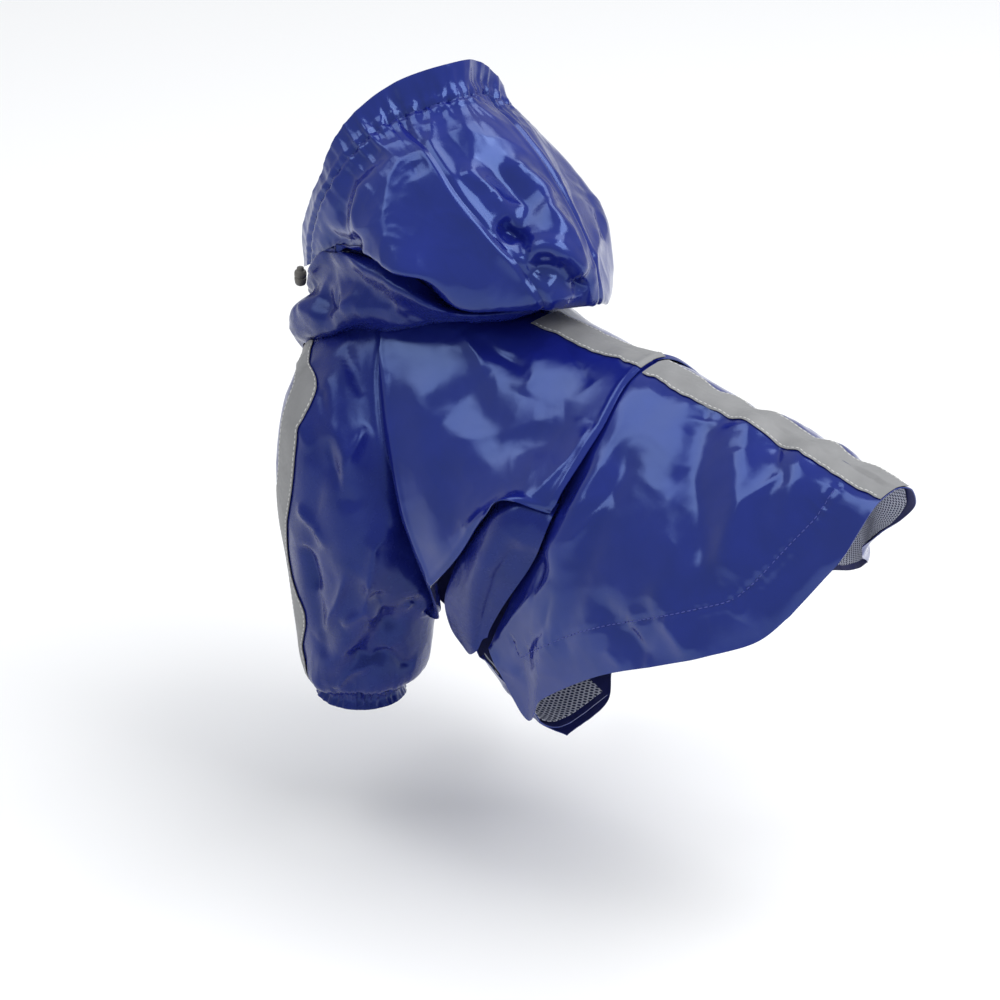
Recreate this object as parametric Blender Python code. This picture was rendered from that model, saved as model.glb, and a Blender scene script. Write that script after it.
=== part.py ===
"""Dog raincoat with a hood and two sleeves, filled out as if worn.

The tables are in millimetres: x to the dog's left, y towards the tail, z up,
measured from the base of the neck. The finished pieces are moved so that the
origin lies on the inner face of the back at the withers, where the wearer
carries the coat.
"""
import math

import bpy
import numpy as np

MM = 0.001
WALL = 1.2            # outer cloth
LINING_WALL = 1.0
TAPE_WALL = 1.0
SEAM_GAP = 0.3        # between neighbouring pieces
LAYER_GAP = 0.4       # between a piece and what lies on it
TAPE_WIDTH = 20.0
HEM_TURNING = 5.0     # bare turned edge between the lining and the hem
WITHERS = (0.0, 95.0, -2.7)

NAVY = (0.014, 0.018, 0.13)
MESH_GREY = (0.62, 0.64, 0.70)
TAPE_GREY = (0.33, 0.33, 0.31)
LOCK_GREY = (0.20, 0.19, 0.17)

# ---------------------------------------------------------------- tables
# A row runs from the spine down the left side; the right side mirrors it.

# Yoke: front edge on the neck seam and raglan seam, last row on the crease.
YOKE_COLUMNS = ("spine", "crown", "shoulder", "raglan_top", "raglan", "flank", "lower_edge")
YOKE_ROWS = (
    ("front", (0, 46, 0), (28, 34, -3), (50, -8, -13), (66, 9, -37), (77, 25, -64),
     (84, 44, -101), (86, 66, -134)),
    ("behind_neck", (0, 75, -1), (24, 72, -8), (46, 62, -26), (64, 58, -48), (76, 64, -74),
     (84, 76, -98), (87, 88, -108)),
    ("middle", (0, 107, -1.5), (21, 106, -9), (43, 103, -29), (62, 100, -50), (75, 100, -66),
     (83, 103, -77), (86, 107, -76)),
    ("hook", (0, 130, -1), (20, 129, -8), (42, 128, -28), (60, 126, -46), (70, 124, -56),
     (78, 122, -61), (84, 120, -61)),
    ("crease", (0, 148, 0), (20, 148, -6), (41, 150, -25), (57, 148, -43), (65, 147, -52),
     (71, 146, -59), (75, 144, -65)),
)

# Skirt: front edge tucked under the crease, last row on the rear hem.
SKIRT_COLUMNS = ("spine", "crown", "shoulder", "flank", "low", "hem")
SKIRT_ROWS = (
    ("tucked", (0, 134, -3.6), (18, 134, -10.5), (39, 136, -31), (61, 136, -70),
     (73, 118, -122), (72, 98, -163)),
    ("corner", (0, 152, -2.2), (19, 152, -8), (41, 154, -29), (67, 151, -66), (79, 136, -124),
     (71, 125, -196)),
    ("flank_1", (0, 172, -4), (18, 172, -10), (41, 172, -31), (70, 168, -70), (84, 158, -126),
     (77, 143, -175)),
    ("flank_2", (0, 200, -7), (18, 200, -13), (40, 200, -33), (66, 198, -70), (80, 194, -112),
     (82, 188, -142)),
    ("flank_3", (0, 235, -9), (18, 235, -15), (38, 234, -35), (60, 232, -65), (72, 229, -95),
     (78, 226, -123)),
    ("rump_1", (0, 265, -11), (17, 264, -17), (33, 262, -35), (50, 259, -62), (62, 256, -88),
     (69, 252, -111)),
    ("rump_2", (0, 290, -14), (15, 289, -19), (26, 286, -36), (37, 281, -60), (48, 277, -82),
     (54, 274, -100)),
    ("rear_hem", (0, 317, -16), (12, 316, -20), (21, 313, -33), (27, 308, -48), (31, 298, -64),
     (42, 286, -85)),
)

# Right half of the last rows, where the rear hem is drawn up: from the spine out.
SKIRT_RIGHT_REAR = (
    ("rump_1", (0, 265, -11), (-17, 264, -17), (-33, 262, -35), (-49, 257, -61), (-60, 250, -86),
     (-66, 242, -108)),
    ("rump_2", (0, 290, -14), (-15, 289, -19), (-25, 285, -36), (-34, 277, -57), (-43, 266, -78),
     (-50, 254, -96)),
    ("rear_hem", (0, 317, -16), (-12, 318, -19), (-21, 314, -33), (-27, 300, -49),
     (-33, 281, -66), (-40, 262, -84)),
)

# Side piece: top edge tucked under the yoke, columns from front to crease.
SIDE_COLUMNS = ("front", "front_mid", "middle", "rear_mid", "crease")
SIDE_ROWS = (
    ("tucked", (78, 88, -101), (77, 105, -76), (75.5, 117, -64.4), (71, 128, -60), (65, 138, -64)),
    ("bulge", (82, 81, -120), (84, 97, -98), (86, 114, -78), (83, 127, -70), (75, 139, -74)),
    ("middle", (83, 76, -138), (87, 92, -122), (91, 107, -106), (89, 119, -97), (79, 130, -99)),
    ("low", (80, 77, -155), (84, 88, -147), (87, 99, -139), (86, 107, -132), (81, 115, -128)),
    ("tip", (78, 86, -166), (79, 90, -167), (80, 94, -165), (80, 98, -161), (80, 102, -154)),
)

# Chest: from the throat to the belly, between the front legs.
CHEST_COLUMNS = ("centre", "middle", "edge")
CHEST_ROWS = (
    ("throat", (0, -88, -68), (30, -80, -60), (52, -62, -42)),
    ("upper", (0, -96, -100), (32, -88, -96), (54, -66, -76)),
    ("breast", (0, -84, -132), (26, -78, -130), (46, -62, -115)),
    ("between_legs", (0, -55, -160), (18, -52, -160), (32, -41, -154)),
    ("underarm", (0, -10, -172), (18, -10, -172), (31, -8, -169)),
    ("belly_1", (0, 45, -185), (24, 45, -185), (42, 48, -178)),
    ("belly_2", (0, 90, -198), (40, 90, -198), (71, 90, -172)),
)

# Left armhole, a loop: its seam on the yoke, the free underarm, its seam on the
# chest. x, y, z, and the turn in degrees of the point's place on the rings below.
NECK_POINT = (60, -38, -27, -12)
YOKE_TURNS = (12, 38, 64, 91, 120)
UNDERARM = ((68, 54, -163, 150), (50, 22, -172, 180))
CHEST_TURNS = (208, 240, 270, 297, 324)
YOKE_SEAM_AT = 1      # loop column where the yoke's seam starts
YOKE_SEAM_COLUMN = 2  # the yoke's column there
CHEST_SEAM_AT = 8     # loop column where the chest's seam starts
CHEST_SEAM_ROW = 4    # the chest's row there; the seam runs up from it

# Rings of the sleeve: centre x, y, z; reach out, to the rear, in and to the front;
# and how far the ring's plane tips along x and y.
SLEEVE_RINGS = (
    ("shoulder", 62, -12, -118, 34, 50, 31, 50, 1.9, -0.12),
    ("upper_arm", 64, -4, -148, 42, 44, 36, 56, 1.0, -0.14),
    ("elbow", 61, -7, -172, 40, 38, 36, 48, 0.45, -0.08),
    ("blouse", 58, -11, -198, 38, 37, 36, 39, 0.15, 0.0),
    ("turn", 59, -12, -218, 33, 34, 33, 34, 0.0, 0.0),
    ("cuff_seam", 61, -13, -226, 24, 24, 24, 24, 0.0, 0.0),
)
CUFF_RINGS = (
    ("seam", 61, -13, -226.6, 24, 24, 24, 24, 0.0, 0.0),
    ("elastic", 61, -13, -230, 23, 23, 23, 23, 0.0, 0.0),
    ("edge", 61, -13, -234.5, 25, 25, 25, 25, 0.0, 0.0),
)

# Hood: a row for each arch line from the chin up to the crown, left half.
HOOD_COLUMNS = ("face", "casing", "side_1", "side_2", "overhang", "tuck", "neck")
HOOD_ROWS = (
    ("chin", (60, -60, -3), (61, -51, 3.5), (61, -40, 13), (62, -29, 23), (64, -21, 28),
     (55.5, -37, 20), (51, -34, 14)),
    ("cheek", (64, -54, 24), (65, -41, 29), (67, -15, 37), (69, -1, 40), (71, 12, 38),
     (58, 5, 33), (51, 2, 18)),
    ("temple", (64, -36, 58), (65, -25, 59.5), (66, 0, 60), (69, 20, 55), (71, 42, 38),
     (58, 33, 34), (50.4, 25, 19.3)),
    ("brow", (55, -24, 92), (52, -12, 87), (51, 10, 82), (51, 31, 69), (52, 56, 42),
     (51, 61, 17.5), (42.5, 43.2, 14.2)),
    ("seam", (30, -14, 114), (31, -7, 98), (32, 24, 88), (33, 50, 70), (25, 80, 44),
     (18, 90, 17.5), (22, 56, 13.5)),
    ("crown", (0, -2, 124), (0, 6, 107), (0, 29, 96), (0, 56, 77), (0, 95, 48),
     (0, 93, 13), (0, 59, 13)),
)
# Right half where it differs: narrower at the face, sagging lower at the back.
HOOD_RIGHT_ROWS = {
    "chin": ((-60, -60, -1), (-61, -46, 9), (-61, -38, 17), (-62, -29, 26), (-64, -21, 31),
             (-57, -34, 19), (-52, -31, 12)),
    "cheek": ((-64, -54, 24), (-65, -41, 29), (-67, -15, 37), (-69, -1, 40), (-71, 12, 38),
              (-59, 4, 32), (-54.5, 1, 14.5)),
    "temple": ((-60, -36, 58), (-60, -18, 60), (-62, 0, 60), (-65, 21, 54), (-67, 44, 37),
               (-63, 46, 24), (-48.5, 23, 14)),
    "brow": ((-47, -24, 92), (-44, -9, 86), (-44, 10, 82), (-44, 33, 68), (-48, 66, 31),
             (-46, 73, -1), (-40, 43, 18)),
    "seam": ((-25, -14, 115), (-25, -7, 99), (-25, 24, 89), (-26, 52, 71), (-22, 86, 39),
             (-19, 92, 9), (-20, 56, 13.5)),
}
SEAM_ROW = 4          # the side panel meets the centre panel on this row
HEAD_TURN = math.radians(14)   # to the dog's right, at the face edge

# Neck band: a loop of sections from the throat over the left side to the nape.
BAND_COLUMNS = ("top", "ridge", "under", "bulge", "lower_edge")
BAND_ROWS = (
    ("throat", (0, -77, -32), (0, -86, -33), (0, -84, -42), (0, -92, -54), (0, -90, -66)),
    ("front", (30, -66, -22), (37, -73, -22), (36, -70, -31), (43, -77, -41), (41, -75, -52)),
    ("front_left", (48, -52, -1), (55, -57, 2), (53, -55, -8), (61, -65, -21), (60, -65, -35)),
    ("left", (56, -30, 18.5), (62, -33, 21), (59, -33, 8), (68, -32, -8), (66, -31, -22)),
    ("mid_left", (61, 0, 27), (67, 0, 22), (62, -2, 13), (67, -3, 2), (64, -5, -8)),
    ("rear_left", (59, 27, 27), (67, 30, 19), (61, 27, 10), (59, 24, 4), (56, 20, -5)),
    ("back_left", (40, 40, 11), (55, 52, 14), (50, 48, 7), (46, 43, 2), (38, 34, -3)),
    ("nape_left", (20, 53, 10), (30, 66, 10.5), (28, 65, 5), (23, 60, 1), (18, 54, -2)),
    ("nape", (0, 56, 9.5), (0, 69, 9.5), (0, 70, 5), (0, 66, 2), (0, 60, 0)),
)
# Right half where it lies lower, under the sagging cheek of the hood.
BAND_RIGHT_ROWS = {
    "front_left": ((-49, -52, -4), (-56, -58, -2), (-53, -55, -10), (-61, -65, -21),
                   (-60, -65, -35)),
    "left": ((-57, -29, 14), (-64, -31, 14.5), (-59, -33, 5), (-68, -32, -8), (-66, -31, -22)),
    "mid_left": ((-59, 0, 17.5), (-67, 0, 19), (-62, -2, 12), (-67, -3, 2), (-64, -5, -8)),
    "rear_left": ((-54, 26, 15), (-67, 30, 18), (-61, 27, 10), (-59, 24, 4), (-56, 20, -5)),
    "back_left": ((-40, 40, 9), (-50, 45, 8), (-47, 43, 3), (-44, 40, 0), (-38, 34, -3)),
    "nape_left": ((-20, 53, 8), (-29, 60, 7), (-27, 59, 4), (-22, 57, 1), (-18, 54, -2)),
}

# Belly flaps: the left one ends near the middle, the right one laps below it.
FLAP_COLUMNS = ("front", "middle", "rear")
LEFT_FLAP_ROWS = (
    ("side", (70, 91, -171), (69, 108, -182), (66, 124, -193)),
    ("turn", (58, 91, -189), (58, 108, -200), (55, 125, -207)),
    ("bottom", (40, 91, -198.5), (40, 109, -206), (38, 126, -211)),
    ("end", (4, 91, -201), (4, 108, -204), (4, 121, -209)),
)
RIGHT_FLAP_ROWS = (
    ("side", (-70, 91, -171), (-69, 106, -180), (-66, 121, -189)),
    ("turn", (-56, 91, -188), (-54, 104, -190), (-52, 113, -192)),
    ("bottom", (-20, 91, -201), (-20, 100, -201), (-18, 107, -201)),
    ("under", (2, 94, -206), (2, 107, -210), (2, 119, -215)),
    ("end", (44, 96, -209), (42, 108, -217), (36, 122, -221)),
)

# Largest folds: place, height (below zero for a trough), half width, and the line they run along.
SIDE_FOLDS = (
    ("sleeve_seam_ridge", 3, 8, ((81, 33, -106), (89, 29, -135), (88, 20, -164))),
    ("sleeve_cuff_ridge", 5, 9, ((88, 20, -164), (92, 7, -188), (90, -12, -215))),
    ("sleeve_cuff_hollow", -5, 9, ((78, 25, -176), (84, 16, -194), (87, 5, -213))),
    ("sleeve_vee", -3, 7, ((88, 20, -164), (76, 27, -174), (68, 35, -162))),
    ("sleeve_long_ridge", 2.5, 10, ((83, -11, -43), (94, 16, -78), (99, 17, -130))),
    ("sleeve_front_trough", -2.5, 8, ((90, -18, -49), (102, 2, -80), (105, -5, -124))),
    ("sleeve_low_trough", -3, 7, ((103, -9, -138), (99, -6, -166), (95, -3, -191))),
    ("skirt_ridge_by_crease", 3, 9, ((52, 162, -42), (66, 153, -62), (75, 146, -86))),
    ("skirt_trough_by_crease", -2.5, 10, ((49, 169, -40), (74, 171, -83), (83, 164, -129))),
    ("skirt_middle_trough", -3, 10, ((21, 202, -15), (39, 213, -34), (55, 235, -58))),
    ("skirt_middle_ridge", 3, 10, ((11, 224, -11), (36, 245, -35), (52, 252, -61))),
    ("skirt_rear_ridge", 2.5, 9, ((16, 267, -17), (31, 274, -38), (43, 269, -61))),
    ("hem_trough", -2.5, 8, ((78, 190, -103), (78, 216, -117))),
    ("hem_ridge", 2.5, 8, ((71, 222, -88), (71, 244, -108))),
    ("yoke_hollow", -2.5, 14, ((53, 65, -34), (59, 93, -45), (52, 120, -38))),
    ("yoke_ridge", 2, 12, ((62, 37, -40), (75, 57, -70), (85, 75, -102))),
    ("hood_temple_hollow", -4, 8, ((51, -10, 84), (59, -20, 70), (65, -22, 50))),
    ("hood_chin_hollow", -4, 5, ((64, -35, 31), (69, -3, 39))),
    ("chest_trough", -3, 12, ((10, -98, -92), (40, -82, -112), (46, -62, -125))),
)
RIGHT_SHARE = 0.8     # folds of the right side, against those of the left
MIDDLE_FOLDS = (
    ("hood_seam_ridge", 2, 7, ((37, 18, 89), (40, 38, 76), (39, 55, 62), (36, 70, 50),
                               (27, 84, 40))),
    ("hood_hollow", -7, 10, ((13, 53, 78), (11, 68, 70), (26, 69, 62))),
    ("hood_hollow_left", 3, 7, ((27, 41, 82), (22, 53, 75), (24, 63, 68), (31, 66, 60))),
    ("hood_hollow_right", 4, 7, ((3, 52, 81), (-1, 64, 72), (4, 75, 65), (4, 84, 58))),
    ("hood_low_ridge", 5, 7, ((23, 84, 50), (14, 91, 50), (6, 98, 36))),
    ("hood_low_trough", -5, 7, ((23, 89, 41), (15, 95, 38), (4, 97, 24))),
    ("hood_seam_trough", -4, 7, ((31, 68, 59), (28, 80, 48), (26, 86, 39))),
)

# ---------------------------------------------------------------- surfaces


def rows_of(table):
    """The points of a table, without the rows' names."""
    return np.array([[cell for cell in row if isinstance(cell, tuple)] for row in table], float)


def mirrored(net):
    """A net of the left half, from the spine out, made into the whole width."""
    return np.concatenate([flipped(net)[:, :0:-1], net], axis=1)


def flipped(net):
    """The right-hand twin of a net."""
    return net * (-1, 1, 1)


def weights(t):
    """Catmull-Rom weights of the four points round a place between two rows."""
    return np.stack([
        (-t + 2 * t ** 2 - t ** 3) / 2,
        (2 - 5 * t ** 2 + 3 * t ** 3) / 2,
        (t + 4 * t ** 2 - 3 * t ** 3) / 2,
        (-t ** 2 + t ** 3) / 2,
    ], axis=-1)


def padded(net, axis, loop):
    """The net with one more row at each end, wrapped round or run straight on."""
    net = np.moveaxis(net, axis, 0)
    if loop:
        net = np.concatenate([net[-1:], net, net[:2]])
    else:
        net = np.concatenate([2 * net[:1] - net[1:2], net, 2 * net[-1:] - net[-2:-1]])
    return np.moveaxis(net, 0, axis)


def evaluate(net, u, v, loop=False):
    """Smooth surface through a net: u counts its columns, v its rows."""
    columns = net.shape[1] if loop else net.shape[1] - 1
    rows = net.shape[0] - 1
    if loop:
        u = np.mod(u, columns)
    i = np.clip(np.floor(u).astype(int), 0, columns - 1)
    j = np.clip(np.floor(v).astype(int), 0, rows - 1)
    across = weights(u - i)
    along = weights(v - j)
    full = padded(padded(net, 0, False), 1, loop)
    point = 0
    for a in range(4):
        for b in range(4):
            point = point + (along[..., a] * across[..., b])[..., None] * full[j + a, i + b]
    return point


def unit(vectors):
    return vectors / np.maximum(np.linalg.norm(vectors, axis=-1, keepdims=True), 1e-9)


def distance_to_line(points, line):
    """Distance of each point to a line of two or more corners."""
    nearest = np.full(points.shape[:-1], np.inf)
    for start, end in zip(line[:-1], line[1:]):
        run = end - start
        share = np.clip((points - start) @ run / (run @ run), 0, 1)
        away = np.linalg.norm(points - start - share[..., None] * run, axis=-1)
        nearest = np.minimum(nearest, away)
    return nearest


def fold_height(points):
    """How far the folds push the cloth out at each point: each is a rounded ridge or trough."""
    height = np.zeros(points.shape[:-1])
    for folds, side, share in ((SIDE_FOLDS, 1, 1), (SIDE_FOLDS, -1, RIGHT_SHARE),
                               (MIDDLE_FOLDS, 1, 1)):
        for place, tall, width, line in folds:
            away = distance_to_line(points, np.array(line, float) * (side, 1, 1))
            height += share * tall * np.exp(-(away / width) ** 2)
    return height


class Cloth:
    """A smooth surface through a net, with folds. The spine or first column is u = 0."""

    def __init__(self, net, outward=1, loop=False, start=0):
        self.net = net
        self.outward = outward
        self.loop = loop
        self.start = start

    def plain(self, u, v):
        return evaluate(self.net, u + self.start, v, self.loop)

    def outside(self, u, v):
        """Unit direction out of the coat, from the slopes of the plain surface."""
        step = 0.02
        across = self.plain(u + step, v) - self.plain(u - step, v)
        along = self.plain(u, v + step) - self.plain(u, v - step)
        return unit(np.cross(across, along)) * self.outward

    def at(self, u, v):
        points = self.plain(u, v)
        return points + self.outside(u, v) * fold_height(points)[..., None]


def trimmed(points, trims):
    """Edges drawn in, square to themselves: (first column, last column, first row, last row)."""
    points = points.copy()
    edges = ((np.s_[:, 0], np.s_[:, 1]), (np.s_[:, -1], np.s_[:, -2]),
             (np.s_[0], np.s_[1]), (np.s_[-1], np.s_[-2]))
    for (edge, inside), amount in zip(edges, trims):
        if amount:
            inward = points[inside] - points[edge]
            along = unit(np.gradient(points[edge], axis=0))
            inward -= along * np.sum(inward * along, axis=-1, keepdims=True)
            points[edge] = points[edge] + unit(inward) * amount
    return points


# ---------------------------------------------------------------- solids


def material(name, colour, roughness, metallic=0.0):
    """A Principled material."""
    made = bpy.data.materials.get(name) or bpy.data.materials.new(name)
    made.use_nodes = True
    shader = made.node_tree.nodes["Principled BSDF"]
    shader.inputs["Base Color"].default_value = (*colour, 1.0)
    shader.inputs["Roughness"].default_value = roughness
    shader.inputs["Metallic"].default_value = metallic
    return made


def add_object(name, points, faces, made):
    """A mesh object from points in millimetres, with its faces pointing out."""
    points = (np.asarray(points, float) - np.array(WITHERS)) * MM
    faces = np.asarray(faces)
    a, b, c = (points[faces[:, k]] for k in range(3))
    if np.einsum("ij,ij->i", a, np.cross(b, c)).sum() < 0:
        faces = faces[:, ::-1]
    mesh = bpy.data.meshes.new(name)
    mesh.from_pydata(points.tolist(), [], faces.tolist())
    mesh.shade_smooth()
    mesh.set_sharp_from_angle(angle=math.radians(40))
    mesh.materials.append(made)
    piece = bpy.data.objects.new(name, mesh)
    bpy.context.scene.collection.objects.link(piece)
    return piece


def strip_faces(first, second, loop):
    """Triangles between two rows of point numbers."""
    count = len(first) if loop else len(first) - 1
    faces = []
    for k in range(count):
        n = (k + 1) % len(first)
        faces.append((first[k], first[n], second[n]))
        faces.append((first[k], second[n], second[k]))
    return faces


def wall(name, outer, inner, made, loop=False):
    """One closed wall between an outer and an inner sheet of points."""
    rows, columns = outer.shape[:2]
    out = np.arange(rows * columns).reshape(rows, columns)
    into = out + rows * columns
    faces = []
    for k in range(rows - 1):
        faces += strip_faces(out[k], out[k + 1], loop)
        faces += [face[::-1] for face in strip_faces(into[k], into[k + 1], loop)]
    faces += strip_faces(out[-1], into[-1], loop)
    faces += strip_faces(into[0], out[0], loop)
    if not loop:
        faces += strip_faces(into[:, -1], out[:, -1], False)
        faces += strip_faces(out[:, 0], into[:, 0], False)
    points = np.concatenate([outer.reshape(-1, 3), inner.reshape(-1, 3)])
    return add_object(name, points, faces, made)


def sheet(name, cloth, u, v, made, thick=WALL, lift=0.0, trims=(0, 0, 0, 0), seam=None,
          ring=False):
    """A cloth wall over a stretch of a surface, lifted off it or sunk below it.

    A seam gives the first row's points and directions, shared with its neighbours.
    A ring joins its last column to its first.
    """
    if np.ndim(u) == 1:
        u, v = np.meshgrid(u, v)
    outside = cloth.outside(u, v)
    points = cloth.at(u, v)
    if seam:
        points[0], outside[0] = seam
    points = trimmed(points, trims)
    outer = points + outside * lift
    return wall(name, outer, outer - outside * thick, made, ring)


def steps(start, end, count):
    return np.linspace(start, end, count + 1)


# ---------------------------------------------------------------- pieces

HALF_GAP = SEAM_GAP / 2
HOOD_HALF_GAP = 0.22  # the hood's panels meet at an angle, so their inner edges lie closer
TAPE_CELLS = 2        # each side of the spine
REAR_TURNING = 0.2    # the turned edge at the rear hem, as a share of the last row's length
FLAP_TURNING = 0.2    # the same on the belly flap


def yoke_cloth():
    return Cloth(mirrored(rows_of(YOKE_ROWS)), start=len(YOKE_COLUMNS) - 1)


def skirt_cloth():
    net = mirrored(rows_of(SKIRT_ROWS))
    right = rows_of(SKIRT_RIGHT_REAR)[:, :0:-1]
    net[-len(right):, :right.shape[1]] = right
    return Cloth(net, start=len(SKIRT_COLUMNS) - 1)


def chest_cloth():
    return Cloth(mirrored(rows_of(CHEST_ROWS)), outward=-1, start=len(CHEST_COLUMNS) - 1)


def column_at(cloth, row, start, end, distance):
    """The column that lies a distance along a row from its start, on the way to its end."""
    fine = np.linspace(start, end, 40)
    path = cloth.plain(fine, np.full_like(fine, row))
    run = np.concatenate([[0], np.cumsum(np.linalg.norm(np.diff(path, axis=0), axis=1))])
    return np.interp(distance, run, fine)


def grid_with_tape(cloth, v, columns, turning=0.0):
    """Rows v; across each, the tape's edges, the given columns and a turned edge."""
    grid = []
    for row in v:
        halves = []
        for side in (-1, 1):
            edge = column_at(cloth, row, 0, side, TAPE_WIDTH / 2)
            half = [*np.linspace(0, edge, TAPE_CELLS + 1), *(side * columns)]
            if turning:
                half.insert(-1, column_at(cloth, row, half[-1], half[-2], turning))
            halves.append(half)
        right, left = halves
        grid.append([*right[:0:-1], *left])
    grid = np.array(grid)
    return grid, np.repeat(v[:, None], grid.shape[1], axis=1)


def spine_tape(name, cloth, u, v, tape, first_row):
    """Tape made from the points of the panel under it, moved out."""
    middle = u.shape[1] // 2
    over = np.s_[first_row:, middle - TAPE_CELLS:middle + TAPE_CELLS + 1]
    sheet(name, cloth, u[over], v[over], tape, TAPE_WALL, LAYER_GAP + TAPE_WALL)


def add_yoke(cloth, navy, tape):
    """The yoke over the shoulders and the front length of tape along its spine."""
    columns = np.concatenate([(1,), steps(YOKE_SEAM_COLUMN, len(YOKE_COLUMNS) - 1, 8)])
    u, v = grid_with_tape(cloth, steps(0, len(YOKE_ROWS) - 1, 10), columns)
    sheet("back_yoke", cloth, u, v, navy, trims=(HALF_GAP, HALF_GAP, HALF_GAP, 0))
    spine_tape("tape_spine_front", cloth, u, v, tape, first_row=2)


def add_skirt(cloth, navy, mesh_cloth, tape):
    """The skirt over the back, its mesh lining and the rear length of tape."""
    columns = np.concatenate([(1, 1.5), steps(2, len(SKIRT_COLUMNS) - 1, 6)])
    last = len(SKIRT_ROWS) - 1
    rows = np.concatenate([steps(0, last - 0.5, 13), (last - REAR_TURNING, last)])
    u, v = grid_with_tape(cloth, rows, columns, HEM_TURNING)
    sheet("back_skirt", cloth, u, v, navy)
    inside = np.s_[1:-1, 1:-1]
    sheet("skirt_lining", cloth, u[inside], v[inside], mesh_cloth, LINING_WALL,
          -(WALL + LAYER_GAP))
    spine_tape("tape_spine_rear", cloth, u, v, tape, first_row=2)


def add_sides(navy):
    """The side pieces behind the armholes."""
    left = rows_of(SIDE_ROWS)
    for name, net, outward in (("side_left", left, -1), ("side_right", flipped(left), 1)):
        cloth = Cloth(net, outward)
        sheet(name, cloth, steps(0, len(SIDE_COLUMNS) - 1, 6), steps(0, len(SIDE_ROWS) - 1, 8),
              navy)


def add_chest(cloth, navy):
    edge = len(CHEST_COLUMNS) - 1
    sheet("chest_panel", cloth, steps(-edge, edge, 8), steps(0, len(CHEST_ROWS) - 1, 12), navy,
          trims=(HALF_GAP, HALF_GAP, 0, HALF_GAP))


def add_flaps(navy, mesh_cloth):
    """Belly flaps: the left one is seen from inside, with its lining."""
    left = Cloth(rows_of(LEFT_FLAP_ROWS), outward=-1)
    right = Cloth(rows_of(RIGHT_FLAP_ROWS))
    hem = len(FLAP_COLUMNS) - 1
    end = len(LEFT_FLAP_ROWS) - 1
    across = np.concatenate([steps(0, hem - FLAP_TURNING, 3), (hem,)])
    along = np.concatenate([steps(0, end - FLAP_TURNING / 2, 8), (end,)])
    sheet("belly_flap_left", left, across, along, navy)
    sheet("belly_lining", left, across[:-1], along[:-1], mesh_cloth, LINING_WALL,
          -(WALL + LAYER_GAP))
    sheet("belly_flap_right", right, across, steps(0, len(RIGHT_FLAP_ROWS) - 1, 12), navy)


def armhole_net():
    """The armhole's points and their turns, from the yoke's and the chest's own rows."""
    raglan = rows_of(YOKE_ROWS)[0, YOKE_SEAM_COLUMN:]
    inner = rows_of(CHEST_ROWS)[CHEST_SEAM_ROW::-1, -1]
    points = np.concatenate([[NECK_POINT[:3]], raglan, [row[:3] for row in UNDERARM], inner])
    turns = (NECK_POINT[3], *YOKE_TURNS, *(row[3] for row in UNDERARM), *CHEST_TURNS)
    return points, np.radians(turns)


def ring_points(rings, turns):
    """Points of each ring at the given turns, from the outer side round by the rear."""
    net = []
    for name, x, y, z, out, rear, inner, front, tip_x, tip_y in rings:
        dx = np.cos(turns) * np.where(np.cos(turns) > 0, out, inner)
        dy = np.sin(turns) * np.where(np.sin(turns) > 0, rear, front)
        net.append(np.stack([x + dx, y + dy, z + tip_x * dx + tip_y * dy], axis=-1))
    return np.array(net)


def armhole_seam(sleeve, yoke, chest, u, side):
    """Points and directions round an armhole, taken from the panel that is sewn there."""
    v = np.zeros_like(u)
    points, outside = sleeve.at(u, v), sleeve.outside(u, v)
    from_yoke = u - YOKE_SEAM_AT
    from_chest = u - CHEST_SEAM_AT
    yoke_end = len(YOKE_COLUMNS) - 1 - YOKE_SEAM_COLUMN
    chest_edge = len(CHEST_COLUMNS) - 1
    for panel, on, across, along in (
            (yoke, (from_yoke >= 0) & (from_yoke <= yoke_end),
             side * (YOKE_SEAM_COLUMN + from_yoke), v),
            (chest, (from_chest >= 0) & (from_chest <= CHEST_SEAM_ROW),
             side * chest_edge + v, CHEST_SEAM_ROW - from_chest)):
        points[on] = panel.at(across[on], along[on])
        outside[on] = panel.outside(across[on], along[on])
    return points, outside


def add_sleeves(yoke, chest, navy, tape):
    """Raglan sleeves, their elastic cuffs and the tape down the front of each."""
    armhole, turns = armhole_net()
    sleeve_net = np.concatenate([[armhole], ring_points(SLEEVE_RINGS, turns)])
    cuff_net = ring_points(CUFF_RINGS, turns)
    u = np.arange(2 * len(turns)) / 2
    over_tape = np.append(u[-2:], len(turns))
    for name, side in (("left", 1), ("right", -1)):
        sleeve = Cloth(sleeve_net * (side, 1, 1), -side, loop=True)
        cuff = Cloth(cuff_net * (side, 1, 1), -side, loop=True)
        rows = steps(0, len(SLEEVE_RINGS), 12)
        seam = armhole_seam(sleeve, yoke, chest, u, side)
        sheet("sleeve_" + name, sleeve, u, rows, navy, trims=(0, 0, HALF_GAP, HALF_GAP),
              seam=seam, ring=True)
        sheet("tape_sleeve_" + name, sleeve, over_tape, rows[1:-1], tape, TAPE_WALL,
              LAYER_GAP + TAPE_WALL)
        sheet("cuff_" + name, cuff, u, steps(0, len(CUFF_RINGS) - 1, 2), navy, ring=True)


def turned(net):
    """The hood's net with its face edge turned to the dog's right, and its neck edge not."""
    angle = HEAD_TURN * np.linspace(1, 0, net.shape[1])
    x, y, z = np.moveaxis(net, -1, 0)
    return np.stack([x * np.cos(angle) + y * np.sin(angle),
                     y * np.cos(angle) - x * np.sin(angle), z], axis=-1)


def right_twin(table, own_rows):
    """The right-hand twin of a table, with the rows that have points of their own."""
    right = flipped(rows_of(table))
    for k, row in enumerate(table):
        if row[0] in own_rows:
            right[k] = own_rows[row[0]]
    return right


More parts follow.
